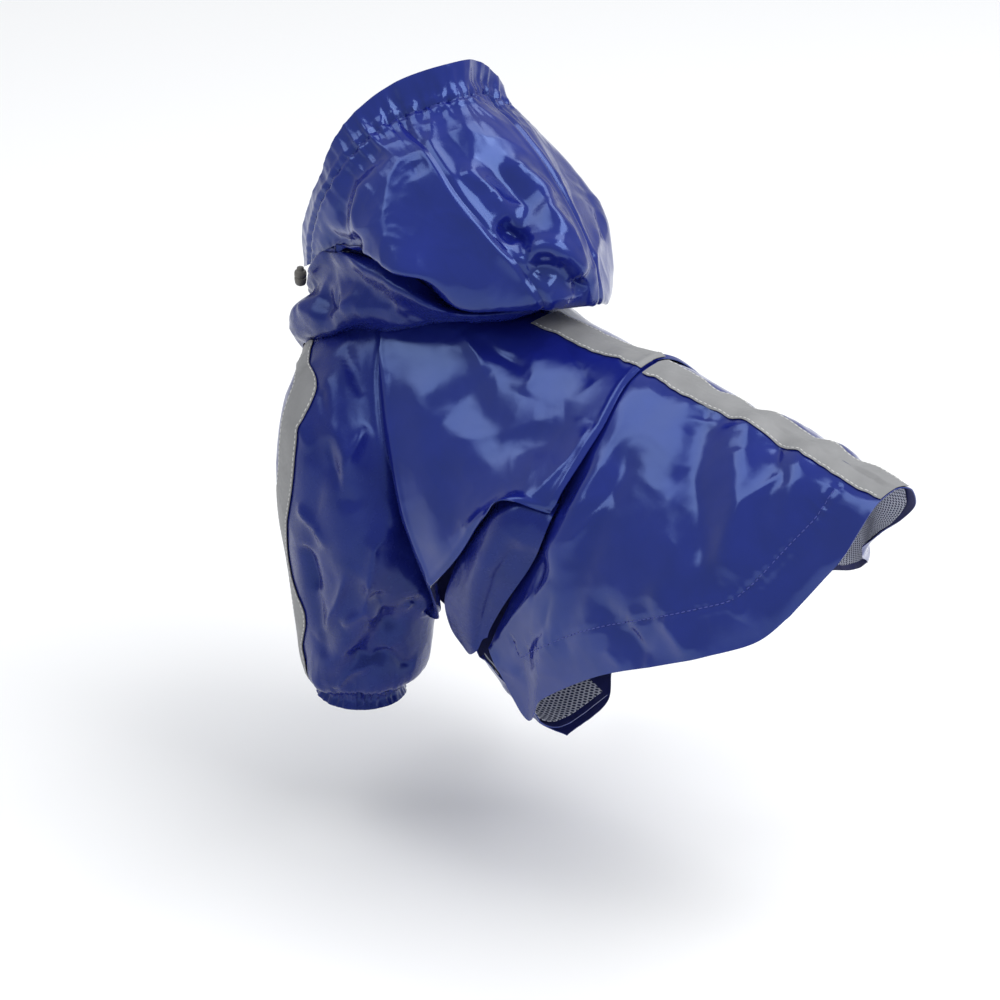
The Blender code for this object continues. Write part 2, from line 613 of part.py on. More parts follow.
def hood_cloth():
    """Hood: u runs from the face edge to the neck, v from the left chin over to the right."""
    left, right = rows_of(HOOD_ROWS), right_twin(HOOD_ROWS, HOOD_RIGHT_ROWS)
    return Cloth(turned(np.concatenate([left, right[-2::-1]])))


def add_hood(navy):
    cloth = hood_cloth()
    last = 2 * (len(HOOD_ROWS) - 1)
    columns = steps(1, len(HOOD_COLUMNS) - 1, 10)
    near, far = steps(0, SEAM_ROW, 10), steps(last - SEAM_ROW, last, 10)
    centre = steps(SEAM_ROW, last - SEAM_ROW, 6)
    apart = HOOD_HALF_GAP
    sheet("hood_left", cloth, columns, near, navy, trims=(HALF_GAP, 0, 0, apart))
    sheet("hood_centre", cloth, columns, centre, navy, trims=(HALF_GAP, 0, apart, apart))
    sheet("hood_right", cloth, columns, far, navy, trims=(HALF_GAP, 0, apart, 0))
    round_face = np.concatenate([near, centre[1:], far[1:]])
    sheet("hood_casing", cloth, steps(0, 1, 2), round_face, navy, trims=(0, HALF_GAP, 0, 0))


def add_neck_band(navy):
    left, right = rows_of(BAND_ROWS), right_twin(BAND_ROWS, BAND_RIGHT_ROWS)
    loop = np.moveaxis(np.concatenate([left, right[-2:0:-1]]), 0, 1)
    cloth = Cloth(loop, outward=-1, loop=True)
    count = loop.shape[1]
    sheet("neck_band", cloth, np.arange(2 * count) / 2, steps(0, len(BAND_COLUMNS) - 1, 8), navy,
          ring=True)


# Cord lock: radius and height up its turned shape, and the middle of its foot.
LOCK_PROFILE = ((1.6, 0.0), (2.8, 1.0), (3.4, 3.5), (3.4, 7.5), (2.8, 10.0), (1.6, 11.0))
LOCK_FOOT = (46, -73.3, -13.6)
LOCK_SIDES = 12


def add_cord_lock(plastic):
    """Cord lock at the left end of the hood's drawcord."""
    foot = np.array(LOCK_FOOT)
    turns = 2 * math.pi * np.arange(LOCK_SIDES) / LOCK_SIDES
    rings = [foot + np.stack([radius * np.cos(turns), radius * np.sin(turns),
                              np.full(LOCK_SIDES, height)], axis=-1)
             for radius, height in LOCK_PROFILE]
    ends = [foot + (0, 0, LOCK_PROFILE[0][1]), foot + (0, 0, LOCK_PROFILE[-1][1])]
    number = np.arange(LOCK_SIDES * len(rings)).reshape(len(rings), LOCK_SIDES)
    faces = []
    for k in range(len(rings) - 1):
        faces += strip_faces(number[k], number[k + 1], True)
    bottom = number[-1, -1] + 1
    for k in range(LOCK_SIDES):
        n = (k + 1) % LOCK_SIDES
        faces.append((bottom, number[0, n], number[0, k]))
        faces.append((bottom + 1, number[-1, k], number[-1, n]))
    add_object("cord_lock", np.concatenate([*rings, ends]), faces, plastic)


def main():
    for old in list(bpy.data.objects):
        bpy.data.objects.remove(old)
    navy = material("coated_navy_cloth", NAVY, 0.25)
    mesh_cloth = material("mesh_lining", MESH_GREY, 0.8)
    tape = material("reflective_tape", TAPE_GREY, 0.45)
    plastic = material("cord_lock_plastic", LOCK_GREY, 0.5)
    yoke, chest = yoke_cloth(), chest_cloth()
    add_yoke(yoke, navy, tape)
    add_skirt(skirt_cloth(), navy, mesh_cloth, tape)
    add_sides(navy)
    add_chest(chest, navy)
    add_flaps(navy, mesh_cloth)
    add_sleeves(yoke, chest, navy, tape)
    add_hood(navy)
    add_neck_band(navy)
    add_cord_lock(plastic)


main()
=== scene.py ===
import math
from dataclasses import dataclass

import bpy
import numpy as np
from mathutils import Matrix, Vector, noise


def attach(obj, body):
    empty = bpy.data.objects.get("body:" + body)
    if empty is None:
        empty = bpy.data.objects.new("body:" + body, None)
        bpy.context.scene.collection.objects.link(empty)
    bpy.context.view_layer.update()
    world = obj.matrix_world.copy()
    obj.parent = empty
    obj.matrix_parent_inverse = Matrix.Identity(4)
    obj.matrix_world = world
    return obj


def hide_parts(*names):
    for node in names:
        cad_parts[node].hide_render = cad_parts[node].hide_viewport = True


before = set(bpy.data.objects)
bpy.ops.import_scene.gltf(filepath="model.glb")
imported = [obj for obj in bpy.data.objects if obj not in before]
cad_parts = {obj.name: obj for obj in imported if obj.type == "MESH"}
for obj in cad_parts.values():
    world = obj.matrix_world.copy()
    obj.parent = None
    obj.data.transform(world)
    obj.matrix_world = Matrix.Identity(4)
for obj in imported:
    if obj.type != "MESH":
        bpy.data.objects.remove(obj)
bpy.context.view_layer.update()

MM = 0.001
CELL = 1.3            # size of the cloth's mesh, on the small pieces that show most
LARGE_CELL = 1.55     # on the yoke and the neck band
BROAD_CELL = 1.8      # on the skirt and the left sleeve
HIDDEN_CELL = 2.35    # on the chest and the right sleeve
CLOTH = 0.6           # thickness of the cloth shells
TAPE_THICK = 0.4
TAPE_LIFT = 1.0       # top of the tape over the panel under it
LINING_THICK = 0.5
WALL = 1.2            # the solids' wall
LAYER_GAP = 0.4
TAPE_WIDTH = 20.0
HEM_TURNING = 5.0     # bare turned edge between the lining and the hem
HEM_DEPTH = 25.0      # the hem's stitch line, in from the edge
WITHERS = (0.0, 95.0, -2.7)
FLOOR = -310.0        # height of the floor under the wearer's feet

# ---------------------------------------------------------------- tables
# A row runs from the spine down the left side; the right side mirrors it.

# Yoke: front edge on the neck seam and raglan seam, last row on the crease.
YOKE_COLUMNS = ("spine", "crown", "shoulder", "raglan_top", "raglan", "flank", "lower_edge")
YOKE_ROWS = (
    ("front", (0, 46, 0), (28, 34, -3), (50, -8, -13), (66, 9, -37), (77, 25, -64), (84, 44, -101),
     (86, 66, -134)),
    ("behind_neck", (0, 75, -1), (24, 72, -8), (46, 62, -26), (64, 58, -48), (76, 64, -74), (84, 76, -98),
     (87, 88, -108)),
    ("middle", (0, 107, -1.5), (21, 106, -9), (43, 103, -29), (62, 100, -50), (75, 100, -66),
     (83, 103, -77), (86, 107, -76)),
    ("hook", (0, 130, -1), (20, 129, -8), (42, 128, -28), (60, 126, -46), (70, 124, -56), (78, 122, -61),
     (84, 120, -61)),
    ("crease", (0, 148, 0), (20, 148, -6), (41, 150, -25), (57, 148, -43), (65, 147, -52), (71, 146, -59),
     (75, 144, -65)),
)

# Skirt: front edge tucked under the crease, last row on the rear hem.
SKIRT_COLUMNS = ("spine", "crown", "shoulder", "flank", "low", "hem")
SKIRT_ROWS = (
    ("tucked", (0, 134, -3.6), (18, 134, -10.5), (39, 136, -31), (61, 136, -70), (73, 118, -122),
     (72, 98, -163)),
    ("corner", (0, 152, -2.2), (19, 152, -8), (41, 154, -29), (67, 151, -66), (79, 136, -124),
     (71, 125, -196)),
    ("flank_1", (0, 172, -4), (18, 172, -10), (41, 172, -31), (70, 168, -70), (84, 158, -126),
     (77, 143, -175)),
    ("flank_2", (0, 200, -7), (18, 200, -13), (40, 200, -33), (66, 198, -70), (80, 194, -112),
     (82, 188, -142)),
    ("flank_3", (0, 235, -9), (18, 235, -15), (38, 234, -35), (60, 232, -65), (72, 229, -95),
     (78, 226, -123)),
    ("rump_1", (0, 265, -11), (17, 264, -17), (33, 262, -35), (50, 259, -62), (62, 256, -88),
     (69, 252, -111)),
    ("rump_2", (0, 290, -14), (15, 289, -19), (26, 286, -36), (37, 281, -60), (48, 277, -82),
     (54, 274, -100)),
    ("rear_hem", (0, 317, -16), (12, 316, -20), (21, 313, -33), (27, 308, -48), (31, 298, -64),
     (42, 286, -85)),
)

# Right half of the last rows, where the rear hem is drawn up: from the spine out.
SKIRT_RIGHT_REAR = (
    ("rump_1", (0, 265, -11), (-17, 264, -17), (-33, 262, -35), (-49, 257, -61), (-60, 250, -86),
     (-66, 242, -108)),
    ("rump_2", (0, 290, -14), (-15, 289, -19), (-25, 285, -36), (-34, 277, -57), (-43, 266, -78),
     (-50, 254, -96)),
    ("rear_hem", (0, 317, -16), (-12, 318, -19), (-21, 314, -33), (-27, 300, -49), (-33, 281, -66),
     (-40, 262, -84)),
)

# Side piece: top edge tucked under the yoke, columns from front to crease.
SIDE_COLUMNS = ("front", "front_mid", "middle", "rear_mid", "crease")
SIDE_ROWS = (
    ("tucked", (78, 88, -101), (77, 105, -76), (75.5, 117, -64.4), (71, 128, -60), (65, 138, -64)),
    ("bulge", (82, 81, -120), (84, 97, -98), (86, 114, -78), (83, 127, -70), (75, 139, -74)),
    ("middle", (83, 76, -138), (87, 92, -122), (91, 107, -106), (89, 119, -97), (79, 130, -99)),
    ("low", (80, 77, -155), (84, 88, -147), (87, 99, -139), (86, 107, -132), (81, 115, -128)),
    ("tip", (78, 86, -166), (79, 90, -167), (80, 94, -165), (80, 98, -161), (80, 102, -154)),
)

# Chest: from the throat to the belly, between the front legs.
CHEST_COLUMNS = ("centre", "middle", "edge")
CHEST_ROWS = (
    ("throat", (0, -88, -68), (30, -80, -60), (52, -62, -42)),
    ("upper", (0, -96, -100), (32, -88, -96), (54, -66, -76)),
    ("breast", (0, -84, -132), (26, -78, -130), (46, -62, -115)),
    ("between_legs", (0, -55, -160), (18, -52, -160), (32, -41, -154)),
    ("underarm", (0, -10, -172), (18, -10, -172), (31, -8, -169)),
    ("belly_1", (0, 45, -185), (24, 45, -185), (42, 48, -178)),
    ("belly_2", (0, 90, -198), (40, 90, -198), (71, 90, -172)),
)

# Left armhole, a loop: its seam on the yoke, the free underarm, its seam on the
# chest. x, y, z, and the turn in degrees of the point's place on the rings below.
NECK_POINT = (60, -38, -27, -12)
YOKE_TURNS = (12, 38, 64, 91, 120)
UNDERARM = ((68, 54, -163, 150), (50, 22, -172, 180))
CHEST_TURNS = (208, 240, 270, 297, 324)
YOKE_SEAM_COLUMN = 2  # the yoke's column where its seam starts
CHEST_SEAM_ROW = 4    # the chest's row where its seam starts; the seam runs up from it

# Rings of the sleeve: centre x, y, z; reach out, to the rear, in and to the front;
# and how far the ring's plane tips along x and y.
SLEEVE_RINGS = (
    ("shoulder", 62, -12, -118, 34, 50, 31, 50, 1.9, -0.12),
    ("upper_arm", 64, -4, -148, 42, 44, 36, 56, 1.0, -0.14),
    ("elbow", 61, -7, -172, 40, 38, 36, 48, 0.45, -0.08),
    ("blouse", 58, -11, -198, 38, 37, 36, 39, 0.15, 0.0),
    ("turn", 59, -12, -218, 33, 34, 33, 34, 0.0, 0.0),
    ("cuff_seam", 61, -13, -226, 24, 24, 24, 24, 0.0, 0.0),
)
CUFF_RINGS = (
    ("seam", 61, -13, -226.6, 24, 24, 24, 24, 0.0, 0.0),
    ("elastic", 61, -13, -230, 23, 23, 23, 23, 0.0, 0.0),
    ("edge", 61, -13, -234.5, 25, 25, 25, 25, 0.0, 0.0),
)

# Hood: a row for each arch line from the chin up to the crown, left half.
HOOD_COLUMNS = ("face", "casing", "side_1", "side_2", "overhang", "tuck", "neck")
HOOD_ROWS = (
    ("chin", (60, -60, -3), (61, -51, 3.5), (61, -40, 13), (62, -29, 23), (64, -21, 28), (55.5, -37, 20),
     (51, -34, 14)),
    ("cheek", (64, -54, 24), (65, -41, 29), (67, -15, 37), (69, -1, 40), (71, 12, 38), (58, 5, 33),
     (51, 2, 18)),
    ("temple", (64, -36, 58), (65, -25, 59.5), (66, 0, 60), (69, 20, 55), (71, 42, 38), (58, 33, 34),
     (50.4, 25, 19.3)),
    ("brow", (55, -24, 92), (52, -12, 87), (51, 10, 82), (51, 31, 69), (52, 56, 42), (51, 61, 17.5),
     (42.5, 43.2, 14.2)),
    ("seam", (30, -14, 114), (31, -7, 98), (32, 24, 88), (33, 50, 70), (25, 80, 44), (18, 90, 17.5),
     (22, 56, 13.5)),
    ("crown", (0, -2, 124), (0, 6, 107), (0, 29, 96), (0, 56, 77), (0, 95, 48), (0, 93, 13), (0, 59, 13)),
)
# Right half where it differs: narrower at the face, sagging lower at the back.
HOOD_RIGHT_ROWS = {
    "chin": ((-60, -60, -1), (-61, -46, 9), (-61, -38, 17), (-62, -29, 26), (-64, -21, 31), (-57, -34, 19),
        (-52, -31, 12)),
    "cheek": ((-64, -54, 24), (-65, -41, 29), (-67, -15, 37), (-69, -1, 40), (-71, 12, 38), (-59, 4, 32),
        (-54.5, 1, 14.5)),
    "temple": ((-60, -36, 58), (-60, -18, 60), (-62, 0, 60), (-65, 21, 54), (-67, 44, 37), (-63, 46, 24),
        (-48.5, 23, 14)),
    "brow": ((-47, -24, 92), (-44, -9, 86), (-44, 10, 82), (-44, 33, 68), (-48, 66, 31), (-46, 73, -1),
        (-40, 43, 18)),
    "seam": ((-25, -14, 115), (-25, -7, 99), (-25, 24, 89), (-26, 52, 71), (-22, 86, 39), (-19, 92, 9),
        (-20, 56, 13.5)),
}
SEAM_ROW = 4          # the side panel meets the centre panel on this row
HEAD_TURN = math.radians(14)   # to the dog's right, at the face edge

# Neck band: a loop of sections from the throat over the left side to the nape.
BAND_COLUMNS = ("top", "ridge", "under", "bulge", "lower_edge", "neck_seam")
BAND_ROWS = (
    ("throat", (0, -77, -32), (0, -86, -33), (0, -84, -42), (0, -92, -54), (0, -90, -66), (0, -90, -71)),
    ("front", (30, -66, -22), (37, -73, -22), (36, -70, -31), (43, -77, -41), (41, -75, -52),
     (38, -75, -58)),
    ("front_left", (48, -52, -1), (55, -57, 2), (53, -55, -8), (61, -65, -21), (60, -65, -35),
     (55, -62, -42)),
    ("left", (57, -31, 22.5), (62, -34, 25.5), (59, -33, 10), (68, -32, -8), (66, -31, -22),
     (58, -38, -31)),
    ("mid_left", (60, 0, 29), (67, 0, 25), (63, -2, 14), (67, -3, 2), (64, -5, -8), (56, -17, -19)),
    ("rear_left", (58, 27, 27), (67, 30, 22), (62, 27, 11), (59, 24, 4), (56, 20, -5), (51, 2, -15)),
    ("back_left", (40, 40, 11), (55, 52, 14), (50, 48, 7), (46, 43, 2), (38, 34, -3), (37, 21, -8)),
    ("nape_left", (20, 53, 10), (30, 66, 10.5), (28, 65, 5), (23, 60, 1), (18, 54, -2), (18, 43, -1)),
    ("nape", (0, 56, 9.5), (0, 69, 9.5), (0, 70, 5), (0, 66, 2), (0, 60, 0.6), (0, 49, 0.8)),
)
# Right half where it lies lower, under the sagging cheek of the hood: each row's first points.
BAND_RIGHT_ROWS = {
    "front_left": ((-49, -52, -4), (-56, -58, -2), (-53, -55, -10)),
    "left": ((-57, -30, 18), (-64, -32, 19), (-59, -33, 5)),
    "mid_left": ((-60, 0, 22), (-67, 0, 23.5), (-62, -2, 12)),
    "rear_left": ((-57, 27, 18.5), (-67, 30, 20), (-61, 27, 10)),
    "back_left": ((-40, 40, 9), (-50, 45, 8), (-47, 43, 3), (-44, 40, 0)),
    "nape_left": ((-20, 53, 8), (-29, 60, 7), (-27, 59, 4), (-22, 57, 1)),
}

# Belly flaps: the left one ends near the middle, the right one laps below it.
FLAP_COLUMNS = ("front", "middle", "rear")
LEFT_FLAP_ROWS = (
    ("side", (70, 91, -171), (69, 108, -182), (66, 124, -193)),
    ("turn", (58, 91, -189), (58, 108, -200), (55, 125, -207)),
    ("bottom", (40, 91, -198.5), (40, 109, -206), (38, 126, -211)),
    ("end", (4, 91, -201), (4, 108, -204), (4, 121, -209)),
)
RIGHT_FLAP_ROWS = (
    ("side", (-70, 91, -171), (-69, 106, -180), (-66, 121, -189)),
    ("turn", (-56, 91, -188), (-54, 104, -190), (-52, 113, -192)),
    ("bottom", (-20, 91, -201), (-20, 100, -201), (-18, 107, -201)),
    ("under", (2, 94, -206), (2, 107, -210), (2, 119, -215)),
    ("end", (44, 96, -209), (42, 108, -217), (36, 122, -221)),
)

# Largest folds: height (below zero for a trough), half width, and the line each runs along.
SIDE_FOLDS = (
    # sleeve
    (3, 8, (81, 33, -106), (89, 29, -135), (88, 20, -164)),
    (5, 9, (88, 20, -164), (92, 7, -188), (90, -12, -215)),
    (-5, 9, (78, 25, -176), (84, 16, -194), (87, 5, -213)),
    (-3, 7, (88, 20, -164), (76, 27, -174), (68, 35, -162)),
    (2.5, 10, (83, -11, -43), (94, 16, -78), (99, 17, -130)),
    (-2.5, 8, (90, -18, -49), (102, 2, -80), (105, -5, -124)),
    (-3, 7, (103, -9, -138), (99, -6, -166), (95, -3, -191)),
    # skirt
    (3, 9, (52, 162, -42), (66, 153, -62), (75, 146, -86)),
    (-2.5, 10, (49, 169, -40), (74, 171, -83), (83, 164, -129)),
    (-3, 10, (21, 202, -15), (39, 213, -34), (55, 235, -58)),
    (3, 10, (11, 224, -11), (36, 245, -35), (52, 252, -61)),
    (2.5, 9, (16, 267, -17), (31, 274, -38), (43, 269, -61)),
    # skirt, at the hem
    (-2.5, 8, (78, 190, -103), (78, 216, -117)),
    (2.5, 8, (71, 222, -88), (71, 244, -108)),
    # yoke
    (-2.5, 14, (53, 65, -34), (59, 93, -45), (52, 120, -38)),
    (2, 12, (62, 37, -40), (75, 57, -70), (85, 75, -102)),
    # hood
    (-4, 8, (51, -10, 84), (59, -20, 70), (65, -22, 50)),
    (-4, 5, (64, -35, 31), (69, -3, 39)),
    # chest
    (-3, 12, (10, -98, -92), (40, -82, -112), (46, -62, -125)),
)
RIGHT_SHARE = 0.8     # folds of the right side, against those of the left
# Folds of the hood's left seam and back, which the right side doesn't repeat.
MIDDLE_FOLDS = (
    (2, 7, (37, 18, 89), (40, 38, 76), (39, 55, 62), (36, 70, 50), (27, 84, 40)),
    (-7, 10, (13, 53, 78), (11, 68, 70), (26, 69, 62)),
    (3, 7, (27, 41, 82), (22, 53, 75), (24, 63, 68), (31, 66, 60)),
    (4, 7, (3, 52, 81), (-1, 64, 72), (4, 75, 65), (4, 84, 58)),
    (5, 7, (23, 84, 50), (14, 91, 50), (6, 98, 36)),
    (-5, 7, (23, 89, 41), (15, 95, 38), (4, 97, 24)),
    (-4, 7, (31, 68, 59), (28, 80, 48), (26, 86, 39)),
)

# Creases that are finer than the solids', in the same form. Those of the left side also
# mark the right side, shifted.
SIDE_CREASES = (
    # hood: temple, chin and lower edge
    (-2.2, 4, (66, -19, 65), (60, -25, 71), (57, -18, 80), (50, -10, 88)),
    (1.8, 4, (58, -8, 84), (62, -12, 72), (67, -10, 60), (73, -3, 45)),
    (-3, 4, (60, -44, 24), (69, -21, 34), (74, -1, 45)),
    (2.2, 4, (64, -18, 30), (68, 0, 34), (75, 30, 37), (67, 48, 31), (59, 56, 24)),
    (-1, 3, (45, 14, 85), (48, 21, 80)),
    # skirt, by the crease
    (2, 4, (67, 134, -86), (66, 158, -60), (55, 170, -50)),
    (2.2, 4, (70, 137, -87), (72, 160, -76), (58, 175, -52)),
    (-2.5, 5, (52, 150, -34), (68, 150, -66), (79, 138, -118)),
    # skirt, beside the tape
    (-1.4, 4, (10, 197, -7), (15, 199, -13)),
    (-1.4, 5, (12, 222, -10), (23, 230, -18)),
    (-2, 5, (8, 244, -10), (18, 254, -17), (25, 266, -24)),
    (1.6, 4, (10, 250, -11), (22, 259, -21), (38, 248, -36), (52, 247, -57)),
    # skirt, pulls at the hem
    (1.6, 3.5, (74, 205, -97), (77, 218, -115), (79, 222, -128)),
    (1.8, 3.5, (74, 225, -95), (73, 245, -111)),
    (-1.6, 4, (79, 187, -111), (77, 207, -110), (77, 222, -118)),
    (1.2, 3, (53, 264, -72), (53, 267, -80), (57, 265, -89)),
    (1.2, 3, (80, 193, -124), (81, 207, -131)),
    # skirt, the side's corner
    (1.8, 4, (79, 152, -100), (76, 125, -129), (71, 100, -160)),
    (-1.8, 4, (80, 153, -106), (82, 149, -126), (73, 120, -172)),
    (1.6, 3.5, (71, 98, -162), (71, 105, -171), (75, 128, -169)),
    # yoke
    (1.8, 4, (34, 40, -9), (37, 57, -17), (42, 66, -23)),
    (-1.6, 4, (30, 50, -11), (32, 66, -14), (31, 86, -17)),
    (1.2, 5, (22, 80, -9), (31, 92, -18), (40, 92, -26)),
    (-1, 5, (12, 92, -4), (18, 108, -7), (26, 128, -13)),
    (1.2, 8, (69, 59, -55), (55, 92, -43), (39, 122, -27)),
    (1.6, 5, (75, 132, -60), (56, 141, -42), (40, 144, -25)),
    (1.5, 4, (84, 84, -100), (82, 104, -77), (74, 118, -62)),
    # side piece
    (1.2, 4, (76, 121, -66), (78, 130, -76), (81, 131, -90)),
    (-4, 6, (82, 131, -83), (86, 118, -109), (84, 106, -139), (80, 96, -161)),
    (-1.5, 5, (83, 88, -108), (84, 108, -92), (80, 126, -80)),
    # sleeve, from the top down
    (-3.9, 3.5, (78, -34, -40), (88, -12, -44), (94, 0, -56)),
    (-2.8, 3.5, (66, -20, -26), (73, -3, -33), (76, 6, -44)),
    (2.4, 3.1, (97, -20, -61), (100, -7, -72)),
    (3.9, 3.1, (93, 2, -55), (95, 13, -69), (100, 17, -93)),
    (3.3, 3.1, (83, 17, -55), (93, 15, -69), (97, 13, -80)),
    (-3.9, 3.5, (96, 2, -62), (99, 10, -79), (97, 22, -98)),
    (3.3, 3.1, (105, -15, -106), (104, 0, -116), (102, 8, -124)),
    (4.8, 3.1, (83, 34, -110), (92, 31, -119), (93, 28, -144), (92, 23, -161)),
    (3.9, 2.8, (97, 10, -172), (92, 23, -161), (80, 24, -168)),
    (-3.9, 3.1, (90, 29, -147), (84, 27, -160), (76, 24, -172)),
    (3.3, 2.8, (74, 26, -173), (70, 30, -166), (66, 34, -160)),
    (-3.9, 3.1, (102, -14, -130), (100, -10, -145), (98, -7, -158)),
    (5.2, 3.5, (97, 20, -128), (98, 8, -160), (97, -10, -190)),
    (-4.8, 3.5, (92, 8, -190), (80, 15, -199), (72, 22, -192)),
    (4.3, 3.5, (89, -4, -220), (86, 6, -207), (76, 18, -198)),
    (-3.3, 3.5, (74, 22, -192), (64, 25, -204), (56, 24, -206)),
    # neck band
    (1.6, 3, (55, -57, 2), (61, -41, 16), (62, -34, 25)),
    (2.1, 3, (62, -34, 25), (63, -26, 20), (67, -19, 12)),
    (-5.9, 6, (60, -42, 0), (68, -30, -6), (67, -20, 2)),
    (-3.2, 4, (55, -56, -4), (62, -42, -5), (69, -30, -10)),
    (2.6, 3.5, (70, -28, -12), (67, -16, 0), (66, -8, 10)),
    (-2.3, 4, (68, -2, 12), (66, 8, 8), (64, 20, 10)),
    (2, 4, (62, -58, -14), (66, -45, -14), (68, -34, -16)),
)
HOOD_CREASES = (
    # the left seam
    (1.4, 2.2, (30, -10, 98), (36, 9, 90), (37, 24, 84), (40, 39, 73), (38, 51, 65), (38, 64, 54),
     (34, 77, 45), (26, 87, 38)),
    (2, 2.5, (37, 64, 54), (34, 73, 47), (29, 80, 42), (25, 85, 37), (19, 89, 37), (18, 90, 36)),
    # the cluster at the back
    (-4.5, 3, (29, 62, 57), (27, 66, 55), (27, 71, 53)),
    (-5.2, 2.6, (26, 61, 58), (23, 65, 56), (22, 73, 53), (22, 83, 47)),
    (4.2, 2.5, (21, 83, 49), (19, 86, 51), (16, 89, 51), (14, 92, 50), (12, 95, 45), (6, 96, 37),
     (0, 96, 32)),
    (-3.4, 2, (22, 84, 46), (20, 88, 47), (17, 92, 48)),
    (-4.5, 2.5, (16, 94, 47), (11, 95, 39), (4, 96, 31), (0, 96, 22)),
    (3.1, 2.6, (3, 85, 57), (1, 88, 54), (2, 94, 48), (1, 96, 41), (-1, 96, 33)),
    (2.9, 2.5, (18, 90, 36), (20, 90, 31), (21, 89, 23), (19, 91, 22), (13, 93, 23), (8, 93, 23),
     (-1, 95, 20)),
    (2.3, 2.5, (26, 86, 32), (27, 86, 26), (25, 87, 20)),
    # the right side
    (1.8, 3, (-50, 54, 44), (-36, 70, 38), (-22, 84, 36), (-9, 94, 31), (-7, 95, 17)),
    # the crown
    (2.9, 3, (30, 36, 82), (27, 46, 78), (23, 54, 76), (24, 60, 72), (32, 70, 64)),
    (2.6, 3.5, (-2, 53, 77), (-5, 64, 69), (5, 74, 65), (1, 81, 58)),
    (-3.1, 3, (34, 66, 61), (32, 71, 54), (29, 80, 48)),
    (1.6, 2.5, (18, 62, 71), (20, 68, 66), (17, 73, 62)),
    # above the face
    (1.2, 3, (6, 8, 106), (16, 29, 95), (25, 39, 83)),
    (1.4, 3, (18, -2, 104), (26, 9, 96), (34, 14, 90)),
    (-1, 3, (14, 0, 105), (22, 19, 95), (25, 36, 84)),
    # the right side
    (1, 3, (-30, 20, 88), (-23, 62, 64), (-16, 79, 51), (-8, 92, 40), (-6, 97, 26)),
    (-1.8, 4, (-40, 44, 68), (-28, 68, 56), (-20, 86, 44), (-18, 90, 34)),
    (1.8, 4, (-46, 52, 58), (-38, 70, 46), (-28, 84, 32)),
    (-1.6, 4, (-56, 40, 58), (-52, 58, 44), (-44, 70, 28)),
)
SHIFT_RIGHT = (0, 6, -4)

# ---------------------------------------------------------------- surfaces


def rows_of(table):
    """The points of a table, without the rows' names."""
    return np.array([[cell for cell in row if isinstance(cell, tuple)] for row in table], float)


def mirrored(net):
    """A net of the left half, from the spine out, made into the whole width."""
    return np.concatenate([flipped(net)[:, :0:-1], net], axis=1)


def flipped(net):
    """The right-hand twin of a net."""
    return net * (-1, 1, 1)


def weights(t):
    """Catmull-Rom weights of the four points round a place between two rows."""
    return np.stack([
        (-t + 2 * t ** 2 - t ** 3) / 2,
        (2 - 5 * t ** 2 + 3 * t ** 3) / 2,
        (t + 4 * t ** 2 - 3 * t ** 3) / 2,
        (-t ** 2 + t ** 3) / 2,
    ], axis=-1)


def padded(net, axis, loop):
    """The net with one more row at each end, wrapped round or run straight on."""
    net = np.moveaxis(net, axis, 0)
    if loop:
        net = np.concatenate([net[-1:], net, net[:2]])
    else:
        net = np.concatenate([2 * net[:1] - net[1:2], net, 2 * net[-1:] - net[-2:-1]])
    return np.moveaxis(net, 0, axis)


def evaluate(net, u, v, loop=False):
    """Smooth surface through a net: u counts its columns, v its rows."""
    columns = net.shape[1] if loop else net.shape[1] - 1
    rows = net.shape[0] - 1
    if loop:
        u = np.mod(u, columns)
    i = np.clip(np.floor(u).astype(int), 0, columns - 1)
    j = np.clip(np.floor(v).astype(int), 0, rows - 1)
    across = weights(u - i)
    along = weights(v - j)
    full = padded(padded(net, 0, False), 1, loop)
    point = 0
    for a in range(4):
        for b in range(4):
            point = point + (along[..., a] * across[..., b])[..., None] * full[j + a, i + b]
    return point


def unit(vectors):
    return vectors / np.maximum(np.linalg.norm(vectors, axis=-1, keepdims=True), 1e-9)


# ---------------------------------------------------------------- folds and creases

TAPER = 4             # how late along a crease its height falls off towards the ends
REACH = 4             # a crease is left out this many widths away
CREST = 0.6           # rounding of a crease's top
IN_PLACE = (0, 0, 0)
# Groups of folds: the table, its side, its share of the height, and its shift.
BROAD_FOLDS = ((SIDE_FOLDS, 1, 1, IN_PLACE), (SIDE_FOLDS, -1, RIGHT_SHARE, IN_PLACE),
               (MIDDLE_FOLDS, 1, 1, IN_PLACE))
FINE_CREASES = ((SIDE_CREASES, 1, 1, IN_PLACE), (SIDE_CREASES, -1, RIGHT_SHARE, SHIFT_RIGHT),
                (HOOD_CREASES, 1, 1, IN_PLACE))

# Wrinkles: size and reach of their lines' bends; level of their tops, steepness, rounding.
BEND_SIZE, BEND_REACH = 40, 12
WRINKLE_TOP, WRINKLE_STEEP, WRINKLE_POWER = 0.35, 2.2, 0.8
# Gathers: level of their tops, steepness, and length of their noise in reaches.
GATHER_TOP, GATHER_STEEP, GATHER_LENGTH = 0.4, 2.4, 4
# Sewn seams: the lip's place and width, the groove's width, how far the seam shapes the
# cloth, how near it calms the wrinkles, and the share of them that is left on it.
LIP_PLACE, LIP_WIDTH, GROOVE_WIDTH = 3.2, 1.8, 1.5
SEAM_REACH, SEAM_CALM, CALM_LEAST = 12, 4, 0.25


